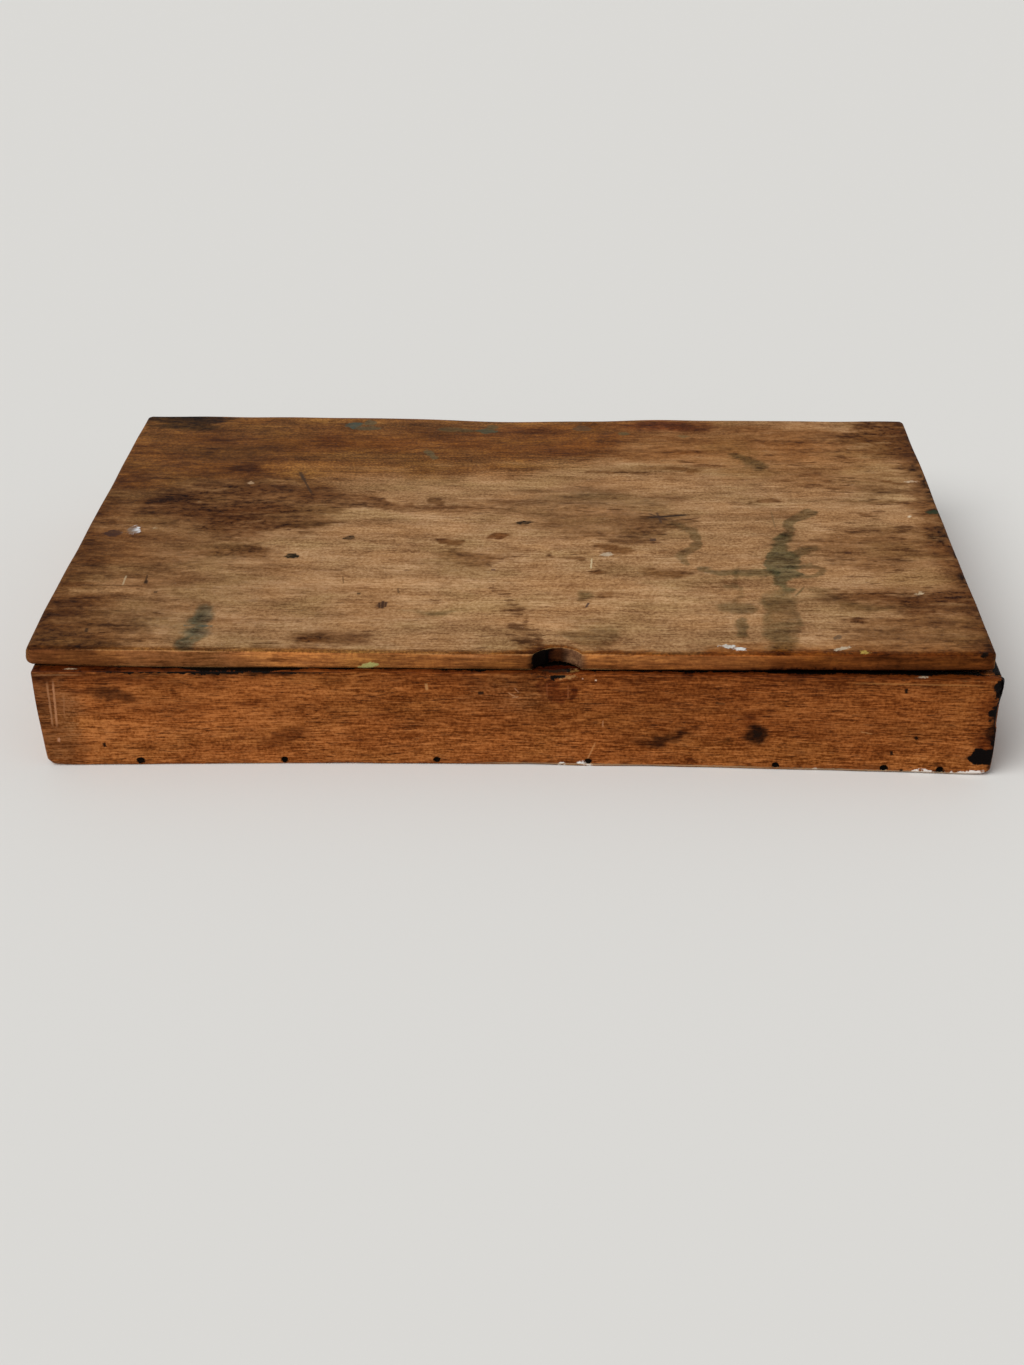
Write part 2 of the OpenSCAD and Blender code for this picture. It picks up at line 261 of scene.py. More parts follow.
def layMarks(fields, on, depth, colour, cover):
    # the mark that a point lies deepest in sets its colour
    depth = np.where(on > 0.5, depth.clip(-deepest, deepest), -deepest)
    deeper = depth > fields["markDepth"]
    fields["markDepth"] = np.where(deeper, depth, fields["markDepth"])
    fields["markTone"] = np.where(deeper[:, None], tone(colour), fields["markTone"])
    fields["markCover"] = np.where(deeper, cover, fields["markCover"])


def layBlots(fields, on, u, v, blots):
    for x, y, longHalf, wideHalf, colour, cover, *turn in blots.values():
        layMarks(fields, on, patchDepth(u, v, x, y, longHalf, wideHalf, *turn), colour, cover)


def layStrokes(fields, on, u, v, strokes):
    for path, halves, colour, cover in strokes.values():
        layMarks(fields, on, strokeDepth(u, v, path, halves), colour, cover)


# nails into the bottom: their height, the hollow over a head, and the usual dark ring round it
nail = dict(high=2.25, radius=1.25, sunk=1.0, ring=(1.9, "1c110a", 0.8))
blackGrime = ("0a0504", 1.6)  # colour and cover at the case's right front corner


def driveNails(points, fields, on, u, v, holes, axis, way, ring):
    # ring is the radius, colour and cover of the dark ring round each nail
    radius, colour, cover = ring
    sinkHoles(points, on, u, v, holes, axis, way * nail["sunk"], nail["radius"])
    gap = np.min([np.hypot(u - a, v - b) for a, b in holes], 0)
    layMarks(fields, on, radius - gap, colour, cover)


def makePiece(name, points, quads, fields, material, body, nodes):
    mesh = bpy.data.meshes.new(name)
    mesh.from_pydata(points * mm, [], quads)
    mesh.shade_smooth()
    for field, values in fields.items():
        kind, key = ("FLOAT_VECTOR", "vector") if values.ndim == 2 else ("FLOAT", "value")
        mesh.attributes.new(field, kind, "POINT").data.foreach_set(key, values.astype(np.float32).ravel())
    mesh.materials.append(material)
    piece = bpy.data.objects.new(name, mesh)
    scene.collection.objects.link(piece)
    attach(piece, body)
    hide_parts(*nodes)
    print(name, len(points), "points,", 2 * len(quads), "triangles")


# Node helpers: addNode gives back its node, and most others the socket that carries their result

def addNode(tree, kind, inputs, **settings):
    made = tree.nodes.new(kind)
    for key, value in settings.items():
        setattr(made, key, value)
    for socket, value in inputs.items():
        if isinstance(value, bpy.types.NodeSocket):
            tree.links.new(value, made.inputs[socket])
        else:
            made.inputs[socket].default_value = value
    return made


def reckon(tree, how, first, second):
    return addNode(tree, "ShaderNodeMath", {0: first, 1: second}, operation=how).outputs[0]


def vectors(tree, how, first, second, output=0):
    return addNode(tree, "ShaderNodeVectorMath", {0: first, 1: second}, operation=how).outputs[output]


def ramped(tree, value, low, high, start=0.0, end=1.0):
    inputs = {0: value, 1: low, 2: high, 3: start, 4: end}
    return addNode(tree, "ShaderNodeMapRange", inputs, interpolation_type="SMOOTHSTEP").outputs[0]


def mixed(tree, share, first, second, how="MIX"):
    inputs = {0: share, 6: first, 7: second}
    return addNode(tree, "ShaderNodeMix", inputs, data_type="RGBA", blend_type=how).outputs[2]


def grains(tree, place, size, detail, rough=0.5):
    # noise whose grains are about size long in x, y and z
    scaled = vectors(tree, "MULTIPLY", place, [1 / s for s in size])
    inputs = {"Vector": scaled, "Scale": 1.0, "Detail": detail, "Roughness": rough}
    return addNode(tree, "ShaderNodeTexNoise", inputs).outputs[0]


def shades(tree, value, codes, spread=(0.2, 0.5, 0.8)):
    ramp = addNode(tree, "ShaderNodeValToRGB", {0: value})
    stops = ramp.color_ramp.elements
    stops.new(0.5)
    for stop, at, code in zip(stops, spread, codes):
        stop.position = at
        stop.color = paint(code)
    return ramp.outputs[0]


def newMaterial(name):
    material = bpy.data.materials.new(name)
    material.use_nodes = True
    tree = material.node_tree
    shader = tree.nodes["Principled BSDF"]
    where = addNode(tree, "ShaderNodeTexCoord", {}).outputs["Object"]
    place = addNode(tree, "ShaderNodeVectorMath", {0: where, "Scale": 1 / mm}, operation="SCALE").outputs[0]
    return material, tree, shader, place


def scratchMask(tree, place, axes, start, end, half, rough):
    # 1 on a thin straight line: near its middle line across, and between its ends along
    first, last = np.zeros(3), np.zeros(3)
    first[list(axes)], last[list(axes)] = start, end
    length = np.linalg.norm(last - first)
    along = (last - first) / length
    across = np.zeros(3)
    across[axes[0]], across[axes[1]] = -along[axes[1]], along[axes[0]]
    offset = vectors(tree, "SUBTRACT", place, first)
    way = vectors(tree, "DOT_PRODUCT", offset, along, "Value")
    side = vectors(tree, "DOT_PRODUCT", offset, across, "Value")
    side = reckon(tree, "ABSOLUTE", reckon(tree, "ADD", side, rough), 0.0)
    way = reckon(tree, "ABSOLUTE", reckon(tree, "SUBTRACT", way, length / 2), 0.0)
    line = ramped(tree, side, 0.4 * half, 1.2 * half, 1.0, 0.0)
    return reckon(tree, "MULTIPLY", line, ramped(tree, way, 0.3 * length, 0.5 * length, 1.0, 0.0))


def woodMaterial(name, look):
    # noises drawn out along the grain, from broad bands down to fibres and pores, set the wood's shade
    material, tree, shader, place = newMaterial(name)

    def along(longSize, crossSize, detail, rough=0.5):
        size = [crossSize] * 3
        size[look["grain"]] = longSize
        return grains(tree, waved, size, detail, rough)

    def centred(value, gain):
        return times(reckon(tree, "SUBTRACT", value, 0.5), gain)

    def added(*values):
        total = values[0]
        for value in values[1:]:
            total = reckon(tree, "ADD", total, value)
        return total

    def times(first, second):
        return reckon(tree, "MULTIPLY", first, second)

    def field(name, output="Fac"):
        return addNode(tree, "ShaderNodeAttribute", {}, attribute_name=name).outputs[output]

    def darkened(colour, share, code):
        return mixed(tree, share, colour, paint(code), "MULTIPLY")

    sway = addNode(tree, "ShaderNodeTexNoise", {"Vector": place, "Scale": 0.02, "Detail": 2.0}).outputs[1]
    swing = [look["sway"]] * 3
    swing[look["grain"]] = 0.0
    waved = vectors(tree, "ADD", place, vectors(tree, "MULTIPLY", sway, swing))

    band = along(150, 15, 2)
    mottle = along(*look["mottleSize"], 4, 0.6)
    streak = along(*look["streakSize"], 3, 0.6)
    fibre = along(*look["fibreSize"], 2, 0.65)
    pore = ramped(tree, along(*look["poreSize"], 2, 0.6), look["poreFrom"], look["poreFrom"] + 0.12)
    smear = along(26, 7, 6, 0.68)
    patch = grains(tree, place, (26, 26, 26), 6, 0.66)
    fleck = grains(tree, place, (1.3, 1.3, 1.3), 3, 0.65)
    veil = along(70, 8, 5, 0.62)
    dash = along(*look["dashSize"], 2, 0.5)
    grit = grains(tree, place, (3.2, 2.4, 2.4), 3, 0.6)
    cast = grains(tree, place, (40, 18, 18), 3)

    # off the face that carries the marks, the finest grain is quieter
    outer = field("outer")
    quiet = ramped(tree, outer, 0.0, 1.0, 0.35, 1.0)
    fine = times(centred(fleck, look["fleck"]), quiet)
    broad = added(centred(band, look["band"]), centred(mottle, look["mottle"]))
    value = added(broad, centred(streak, look["streak"]), centred(fibre, look["fibre"]), fine, 0.5)
    bare = shades(tree, value, look["bare"])
    coat = shades(tree, value, look["coat"])

    # varnish wears off in patches that run with the grain
    kept = added(field("varnish"), centred(patch, 0.5), centred(smear, 0.6), centred(veil, 0.6))
    kept = ramped(tree, kept, 0.1, 0.9)
    colour = mixed(tree, kept, bare, coat)

    # here and there the wood is a little greener or redder
    cast = shades(tree, cast, ("f5fff5", "ffffff", "fff4e6"), (0.36, 0.5, 0.64))
    colour = mixed(tree, look["cast"], colour, cast, "MULTIPLY")

    dirt = times(ramped(tree, smear, 0.52, 0.7), look["smear"])
    colour = darkened(colour, dirt, look["smearTone"])
    dirt = times(ramped(tree, patch, 0.50, 0.75), look["grime"])
    colour = darkened(colour, dirt, look["smearTone"])
    colour = darkened(colour, times(pore, look["pore"]), look["poreTone"])

    # brown streaks with clear sides, and short dark dashes that gather in some places
    dark = times(ramped(tree, veil, 0.51, 0.59), look["veil"])
    colour = darkened(colour, dark, look["veilTone"])
    gathered = added(dash, centred(smear, 0.3), times(field("dashes"), 0.2))
    dark = ramped(tree, gathered, look["dashFrom"], look["dashFrom"] + 0.1)
    colour = darkened(colour, times(dark, look["dash"]), look["dashTone"])

    # stains break up along the streaks, and a dark one brings out the grain under it
    ragged = added(centred(smear, 1.7), centred(streak, 0.5), centred(grit, 0.45), centred(fleck, 0.4))
    soaked = added(times(field("stainCover"), 0.85), ragged)
    soaked = ramped(tree, soaked, 0.28, 0.82)
    colour = mixed(tree, soaked, colour, field("stainTint", "Color"), "MULTIPLY")
    weight = reckon(tree, "SUBTRACT", 1.0, field("stainTint"))
    deep = added(centred(fleck, 0.8), centred(grit, 1.0), centred(streak, 0.7), centred(smear, 1.0))
    deep = ramped(tree, deep, -0.15, 0.4)
    deep = times(deep, times(soaked, weight))
    colour = darkened(colour, times(deep, look["deep"]), look["deepTone"])

    # specks, dark ones in the fleck's peaks and pale ones in its troughs
    speck = times(quiet, look["speck"])
    dark = times(ramped(tree, fleck, 0.67, 0.74), speck)
    colour = darkened(colour, dark, look["dashTone"])
    light = times(ramped(tree, fleck, 0.32, 0.26), times(speck, 0.5))
    colour = mixed(tree, light, colour, paint(look["rubTone"]))

    # arrises are rubbed down to paler wood; along the lid's front arris this is partly a painted highlight
    rubbed = added(field("edge"), centred(fleck, 0.9), centred(streak, 0.9))
    rubbed = times(ramped(tree, rubbed, 0.45, 0.95), look["rub"])
    colour = mixed(tree, rubbed, colour, paint(look["rubTone"]))

    # paint and dirt on the surface, thinner on some fibres than on others
    marked = added(field("markDepth"), centred(fleck, 2.6), centred(smear, 2.2))
    marked = ramped(tree, marked, -0.4, 0.45)
    marked = times(marked, field("markCover"))
    thin = ramped(tree, added(mottle, centred(fleck, 0.9), centred(fibre, 0.6)), 0.3, 0.62, 0.65, 1.05)
    marked = times(marked, thin)
    colour = mixed(tree, marked, colour, field("markTone", "Color"))

    wobble = centred(fleck, 0.9)
    for start, end, half, code, cover in look.get("scratches", {}).values():
        mask = scratchMask(tree, place, look["scratchAxes"], start, end, half, wobble)
        mask = times(times(mask, outer), cover)
        colour = mixed(tree, mask, colour, paint(code))

    gloss = added(look["rough"], centred(fibre, 0.25), centred(patch, 0.2))
    gloss = reckon(tree, "SUBTRACT", gloss, times(kept, look["sheen"]))
    relief = reckon(tree, "SUBTRACT", times(fibre, 0.7), pore)
    relief = added(relief, times(mottle, 0.7), times(marked, 0.4))
    inputs = {"Strength": look["relief"], "Distance": 0.00025, "Height": relief}
    bump = addNode(tree, "ShaderNodeBump", inputs)
    tree.links.new(colour, shader.inputs["Base Color"])
    tree.links.new(gloss, shader.inputs["Roughness"])
    tree.links.new(bump.outputs[0], shader.inputs["Normal"])
    shader.inputs["Specular IOR Level"].default_value = look["shine"]
    return material


lidLook = dict(
    grain=0, sway=5.0, band=0.4, mottle=0.6, streak=0.5, fibre=0.5, fleck=1.0,
    mottleSize=(24, 9), streakSize=(44, 1.6), fibreSize=(9, 0.8), poreSize=(8, 0.6), dashSize=(11, 2.4),
    bare=("6e4a2d", "a07a53", "bf9973"), coat=("3f230a", "744a24", "a8743a"),
    poreFrom=0.58, pore=0.4, poreTone="7c5f42", smear=0.4, smearTone="8a623c", grime=0.35,
    veil=0.2, veilTone="a07a54", dash=0.65, dashFrom=0.66, dashTone="785634", speck=0.5, cast=0.5,
    deep=1.65, deepTone="5c3c24",
    rub=0.4, rubTone="bc8c58", rough=0.66, sheen=0.12, relief=0.5, shine=0.03, scratchAxes=(0, 1),
)
lidLook["scratches"] = {
    # start, end, half width, colour, cover
    "slantDark": ((-114, 58), (-103.5, 29), 0.65, "3a2a1e", 0.8),
    "slantTop": ((-114, 58.5), (-109.8, 46), 1.3, "3a2a1e", 0.75),
    "paleMid": ((33.2, -36), (32.8, -48), 0.45, "c8b48e", 0.85),
    "paleLeft": ((-177, -57), (-176.6, -68), 0.5, "b09a7a", 0.75),
    "crack": ((-198, -67.2), (-165, -67.7), 0.35, "4a3320", 0.75),
    "twig": ((127.5, -64), (121.8, -74), 0.6, "54482c", 0.65),
    "scuff": ((-22, -81), (-10.5, -69.7), 0.5, "7c5634", 0.6),
    "wisp": ((-79, -56), (-77.8, -64), 0.4, "5a4028", 0.6),
    "curl": ((-53.2, -67), (-52.2, -73), 0.6, "5a4028", 0.7),
    "starLeg": ((64.5, 14), (66.5, 0), 0.7, "3e2e26", 0.7),
    "starArm": ((58, 6.4), (81, 10.6), 1.3, "2a1e18", 0.92),
    "starCross": ((60, 12), (70, 4), 0.8, "3e2e26", 0.7),
    "stemHair": ((119.5, 17), (119.8, -6), 0.5, "665238", 0.45),
    "combA": ((-60.2, -80.5), (-59.4, -87.2), 0.6, "38241a", 0.85),
    "combB": ((-58.6, -78.8), (-58.2, -87.5), 0.8, "38241a", 0.9),
    "combC": ((-56.8, -80), (-57.2, -86), 0.6, "38241a", 0.85),
    "drip": ((-167.6, -56), (-166.6, -66), 0.55, "3a2616", 0.8),
    "dripEnd": ((-166.9, -62), (-166.5, -66), 1.1, "2c1c12", 0.85),
    "dotB": ((-111.2, -8.6), (-108.8, -9), 1, "4a2a1a", 0.75),
    "dotC": ((-71, -73), (-69, -73), 1, "38281c", 0.8),
    "dotD": ((-161.4, -73.7), (-159.4, -73.7), 1, "38281c", 0.75),
    "dotE": ((148.8, -30.2), (152.6, -29.8), 1.2, "3a2016", 0.85),
    "dotF": ((60, -17.4), (63.6, -17.2), 1.7, "3c2c28", 0.8),
    "dotG": ((-183, -107), (-182.6, -111.6), 0.8, "2c1e14", 0.8),
    "dotH": ((31.9, -79.4), (30.3, -84.8), 0.65, "3c2c2c", 0.85),
    "dotI": ((-12.6, -48.5), (-10.2, -48.5), 1, "543a30", 0.75),
    "dotJ": ((184, 7.6), (185.3, 10.2), 0.8, "d0bca0", 0.9),
}
caseLook = dict(
    grain=0, sway=4.0, band=0.4, mottle=0.5, streak=0.65, fibre=1.35, fleck=1.1,
    mottleSize=(14, 5), streakSize=(28, 1.3), fibreSize=(8.5, 0.55), poreSize=(7, 0.5), dashSize=(8, 1.2),
    bare=("71502f", "8f6a44", "a8825a"), coat=("622e09", "985727", "be7740"),
    poreFrom=0.58, pore=0.7, poreTone="5a3a1c", smear=0.25, smearTone="84593a", grime=0.25,
    veil=0.12, veilTone="9c6c44", dash=0.6, dashFrom=0.66, dashTone="5c3a1e", speck=0.4, cast=0.4,
    deep=1.2, deepTone="5c3c24",
    rub=0.5, rubTone="a5713f", rough=0.62, sheen=0.12, relief=0.55, shine=0.04, scratchAxes=(0, 2),
)
frontLook = dict(caseLook)
frontLook["scratches"] = {
    "leftA": ((-196.4, 43.5), (-197, 18.5), 0.5, "a8744e", 0.8),
    "leftB": ((-193.8, 44), (-195.2, 18.5), 0.55, "b27c56", 0.9),
    "leftC": ((-190, 37), (-191.6, 23), 0.4, "9a6640", 0.65),
    "midA": ((31.4, 3), (35.2, 13), 0.4, "bc8250", 0.75),
    "midC": ((37.8, 20), (38.2, 24), 0.4, "b88055", 0.6),
    "highA": ((-36.4, 42), (-36.2, 38), 0.8, "c08a56", 0.75),
    # partly a worn arris and partly a painted highlight: pale lines along the front board's top arris
    "rimLineRight": ((138, 44.4), (200, 44.4), 0.45, "b07842", 0.45),
    "rimLineLeft": ((-204, 45.6), (-180, 45.6), 0.45, "b07c50", 0.35),
    "scuffA": ((-2.2, 37.6), (1.2, 35.2), 0.35, "bd8a62", 0.6),
    "scuffB": ((-0.8, 34.6), (2.6, 35.6), 0.35, "bd8a62", 0.6),
    "scuffC": ((0.4, 40), (2.6, 37.4), 0.3, "b08060", 0.5),
    "scarLineA": ((14.2, 43), (14.4, 34.4), 0.4, "965632", 0.35),
    "scarLineB": ((23.1, 42), (23.2, 34), 0.45, "9c5c36", 0.45),
    "specA": ((28.8, 44.6), (29.6, 44.6), 0.4, "d0a488", 0.7),
    "specB": ((34.2, 44), (35.2, 44), 0.45, "e0c0a4", 0.85),
    "rightPale": ((146, 20.6), (152, 19.4), 0.35, "b07c4c", 0.7),
    "chinA": ((-24, 1), (124, 1), 0.45, "b0906c", 0.75),
    "chinB": ((110, 0.9), (206, 0.9), 0.45, "b8a080", 0.65),
    "holeLeft": ((-176.3, 11.7), (-175.7, 9.3), 0.85, "100804", 0.95),
    "holeTop": ((163.3, 42.5), (163.8, 39.7), 0.8, "100804", 0.95),
    "holeMid": ((169.3, 18.7), (170.7, 17.1), 0.8, "100804", 0.95),
    "holeLow": ((160.3, 11.3), (160.7, 8.8), 0.8, "100804", 0.95),
    "holeEdge": ((198.7, 27.7), (200.3, 27.3), 0.8, "100804", 0.95),
    "holeFoot": ((164.6, 1.6), (166.2, 1.2), 0.7, "100804", 0.9),
    "spotHigh": ((-15, 37), (-12, 37.2), 0.95, "1c0f08", 0.9),
    "dashRight": ((84.5, 33.5), (89.5, 33.1), 0.7, "3a200e", 0.7),
}
innerLook = dict(
    caseLook, bare=("7a5a38", "9a744b", "b48d60"), coat=("7a5a38", "9a744b", "b48d60"),
    poreFrom=0.60, pore=0.5, smear=0.5, grime=0.5, rub=0.3, rubTone="b08a5e", rough=0.68,
)
lidWood = woodMaterial("lidWood", lidLook)
frontWood = woodMaterial("frontWood", frontLook)
caseWood = woodMaterial("caseWood", caseLook)
endWood = woodMaterial("endWood", dict(caseLook, grain=1))
innerWood = woodMaterial("innerWood", innerLook)
innerCrossWood = woodMaterial("innerCrossWood", dict(innerLook, grain=1))
print("wood materials made")


def metalMaterial(name, look):
    # clean metal shows through a patina that is a cloudy noise, with finer pits in it
    material, tree, shader, place = newMaterial(name)
    cloud = grains(tree, place, (7, 7, 7), 5, 0.6)
    pit = grains(tree, place, (0.9, 0.9, 0.9), 3, 0.6)
    value = reckon(tree, "ADD", reckon(tree, "MULTIPLY", cloud, 0.75), reckon(tree, "MULTIPLY", pit, 0.25))
    colour = shades(tree, value, look["tones"], (0.38, 0.5, 0.64))
    rough = ramped(tree, value, 0.35, 0.65, look["dull"], look["bright"])
    bump = addNode(tree, "ShaderNodeBump", {"Strength": look["relief"], "Distance": 0.0001, "Height": pit})
    tree.links.new(colour, shader.inputs["Base Color"])
    tree.links.new(rough, shader.inputs["Roughness"])
    tree.links.new(bump.outputs[0], shader.inputs["Normal"])
    shader.inputs["Metallic"].default_value = look["metal"]
    shader.inputs["Specular IOR Level"].default_value = look["shine"]
    return material


hingeBrass = metalMaterial("hingeBrass", dict(
    tones=("3a2a16", "7a5c2c", "a88848"), dull=0.62, bright=0.34, relief=0.35, metal=0.85, shine=0.5))
nailIron = metalMaterial("nailIron", dict(
    tones=("050403", "0b0806", "1c110a"), dull=0.9, bright=0.8, relief=0.6, metal=0.0, shine=0.03))

keptNodes = {node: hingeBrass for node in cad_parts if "hinge" in node or "screws" in node}
keptNodes |= {"corner_nails": nailIron, "bottom_nails": nailIron, "bottom_board": innerWood}
for node, material in keptNodes.items():
    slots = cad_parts[node].data.materials
    slots.clear()
    slots.append(material)
print("hinges, screws, nails and bottom finished")

# Lid: a board with a thumb notch, sagging at the front and worn hollow at the back
lid = dict(
    edge=1.0, wear=0.3, seed=3, step=(1.75, 1.75, 1.2), edgeLimits=(0.3, 3.6),
    planCorner=2.4, topEdge=1.7, lowEdge=0.45, lipDrop=0.9, lipFrom=(40, 190),
    # the arris rub is a worn edge, and along the front it is partly a painted highlight
    rubAndHighlightReach=0.7, rubElsewhere=0.35, rubAndHighlightFront=(118, 124), rubRight=(30, 120), rubLoss=0.7,
    notchAt=18.5, notchWide=20.5, notchDeep=6.0, notchFade=26.0, notchRough=0.25,
    cornerLift=dict(frontLeft=-0.35, frontRight=0.5, backLeft=0.75, backRight=-0.7),
    frontSag=1.35, sagFade=1.4, backDip=1.4, dipFade=7, dipAt=-8.0, dipWide=46.0, warp=0.12,
    backWear=0.9, wearReach=40, bullnose=2.0, noseReach=16, frontSoak=0.5,
    # the underside's darkening behind the front edge, painted shade with some grime: how far, how ragged,
    # how soft and how strong
    shadeGrimeWide=7, shadeGrimeRagged=2.5, shadeGrimeSoft=(-4, 4), shadeGrimeCover=0.7,
    varnishSoft=(-32, 44), varnishRagged=5, thinRight=(20, 90), thinBy=0.35,
    varnishEdge=(
        (-210, 28), (-150, 30), (-110, 33), (-60, 44), (0, 50), (30, 60), (62, 92), (130, 116), (205, 126),
    ),
)
lid["stains"] = {
    # x, y, half length, half width, tint, strength, soft edge, and its turn if it has one
    "leftHaze": (-172, 5, 54, 84, "umber", 0.6, 26),
    "cloudSpan": (-130, 16, 48, 30, "umber", 0.74, 12),
    "cloudA": (-156, 40, 14, 5, "cloud", 0.5, 4),
    "cloudB": (-136, 36, 16, 8, "cloud", 0.5, 5),
    "cloudC": (-165, 18, 14, 15, "cloud", 0.55, 6),
    "cloudD": (-126, 12, 25, 6, "cloud", 0.8, 4, 2),
    "cloudE": (-131, -5, 23, 10, "cloud", 0.75, 5),
    "cloudF": (-97, 27, 17, 10, "cloud", 0.5, 5, -20),
    "cloudG": (-66, 22, 20, 6, "cloud", 0.7, 4, -30),
    "cloudH": (-34, 16, 22, 2.4, "cloud", 0.7, 2.5),
    "cloudJ": (-133, -33, 18, 6, "umber", 0.9, 5),
    "cloudDip": (-41.7, 21, 2.4, 5, "umber", 0.8, 2),
    "frontLeftCorner": (-194, -112, 36, 24, "umber", 1, 13),
    "frontLeftGrey": (-176, -102, 30, 15, "grey", 0.3, 11),
    "leftEdge": (-204, -40, 12, 90, "umber", 0.7, 9),
    "backLeftBlack": (-184, 126.5, 24, 7.5, "soot", 0.85, 2.5),
    "backLeftOlive": (-182, 115.5, 18, 4.5, "smoke", 0.9, 2),
    "backLeft": (-150, 96, 60, 30, "umber", 0.3, 20),
    "backBrownA": (-161, 98, 9, 4, "umber", 0.8, 4),
    "backBrownB": (-105, 98, 9, 5, "umber", 0.7, 4),
    "backBrownC": (-142, 60, 5, 5, "cloud", 0.6, 3),
    "backBand": (-25, 94, 120, 8, "umber", 0.3, 12),
    "backRedLeft": (-100, 92, 40, 12, "amber", 0.5, 10),
    "backRed": (75, 120, 20, 7, "rust", 0.8, 4),
    "backAmber": (60, 105, 120, 26, "amber", 0.6, 18),
    "backStreakA": (150, 112, 50, 5, "umber", 0.7, 5),
    "backStreakB": (82, 85.5, 11, 2, "umber", 0.9, 2),
    "backStreakC": (130, 100, 60, 4, "umber", 0.6, 4),
    "backStreakD": (172, 88, 30, 4, "umber", 0.6, 4),
    "backRightCorner": (194, 108, 20, 28, "umber", 1.15, 12),
    "rightEdge": (200, 0, 9, 120, "umber", 0.75, 8),
    "rightLine": (200.8, 0, 1.5, 150, "soot", 0.7, 1),
    "rightBand": (186, -77, 26, 11, "cloud", 0.75, 6),
    "rightBandSpan": (166, -77, 30, 8, "umber", 0.8, 6),
    "rightBandLine": (172, -72, 34, 2.2, "umber", 0.8, 2),
    "rightDashA": (174, -89.5, 7, 1.8, "cloud", 0.85, 1.6),
    "rightDashB": (190, -89, 6, 1.8, "cloud", 0.85, 1.6),
    "rightHaze": (165, -22, 40, 16, "umber", 0.65, 9),
    "rightStreakA": (170, 25, 24, 3, "umber", 0.5, 3),
    "rightStreakB": (152, -44, 16, 3, "umber", 0.55, 3),
    "rightStreakC": (180, -8, 18, 4, "umber", 0.5, 4),
    "rightWarm": (184, -50, 32, 60, "amber", 0.25, 18),
    "rightStreakD": (170, 40, 22, 4, "umber", 0.5, 4),
    "rightFront": (178, -106, 42, 18, "umber", 0.8, 12),
    "rightBackHaze": (130, 76, 70, 26, "amber", 0.5, 18),
    "greyMid": (30, 28, 22, 7, "grey", 0.8, 6),
    "greySpan": (34, 22, 50, 22, "umber", 0.4, 14),
    "brownMid": (40, 0, 38, 14, "umber", 0.5, 9),
    "brownMidA": (57, -7, 15, 4.5, "cloud", 0.65, 3),
    "brownMidB": (55, -17, 13, 2.8, "cloud", 0.55, 2.5),
    "brownMidC": (44.5, -25, 10, 3.8, "umber", 0.95, 3),
    "brownMidD": (62, -50.5, 12, 5, "umber", 0.95, 3.5),
    "brownMidE": (-23, -38.5, 14, 7, "umber", 0.85, 5),
    "brownMidF": (150, 50, 34, 9, "umber", 0.4, 7),
    "dabA": (-10.5, -16, 6, 3, "cloud", 1, 1.4),
    "dabB": (-29.5, -23.6, 7.4, 2.8, "cloud", 0.85, 1.4),
    "dabC": (24, -37, 8.5, 2.2, "cloud", 0.75, 1.3),
    "dabD": (35, -51, 3.6, 3, "cloud", 0.8, 1.4),
    "dabE": (27, -72, 4.6, 3.6, "olive", 0.8, 2),
    "dabF": (38, -73, 3.6, 2.6, "umber", 0.8, 2.2),
    "dabG": (144.5, -95, 4.4, 2.2, "cloud", 0.85, 1.8),
    "dabI": (162, 8, 5, 3, "umber", 0.8, 2.4),
    "streakA": (41, 60, 16, 1.9, "cloud", 0.75, 1.6),
    "streakB": (78.5, 66, 10, 2.3, "cloud", 0.75, 2),
    "streakC": (85, 61, 4, 3, "umber", 0.8, 2),
    "streakD": (178.5, 50.6, 7.5, 1.8, "cloud", 0.9, 1.5),
    "streakE": (117, 27, 7, 2.3, "cloud", 0.75, 1.8),
    "streakF": (144, 59, 5.5, 2, "cloud", 0.6, 1.6),
    "streakG": (150.5, 51, 4.5, 1.8, "umber", 0.8, 1.5),
    "streakH": (187, 25, 7, 1.8, "umber", 0.8, 1.6),
    "frontStain": (-77, -111.5, 14, 7, "cloud", 0.65, 5),
    "frontStainLeft": (-84, -113, 8, 4, "umber", 0.8, 3),
    "oliveLine": (-35, -89.5, 9.5, 1.5, "olive", 0.8, 1.4),
    "dashHaze": (1, -84, 5, 9, "umber", 0.35, 5),
    "dashLow": (4, -105, 4, 11, "umber", 0.35, 5),
    "dashNotch": (9, -119, 6, 4, "cloud", 0.7, 3),
    "speckled": (33, -110, 11, 8, "olive", 0.55, 5),
    "paleStreakA": (24, -31, 46, 3, "pale", 0.9, 3),
    "paleStreakB": (-16, 49, 60, 8, "pale", 0.3, 6),
    "leftPale": (-112, -84, 60, 40, "umber", 0.16, 25),
    "paleFront": (10, -80, 90, 26, "pale", 0.6, 20),
    "paleDab": (48, 52, 7, 3, "pale", 0.9, 3),
    "frontArris": (110, -126.5, 170, 4.5, "amber", 0.9, 2),
    "frontArrisRight": (140, -123, 80, 8, "amber", 0.6, 7),
    "greyLeft": (-188, 30, 20, 12, "olive", 0.3, 7),
}
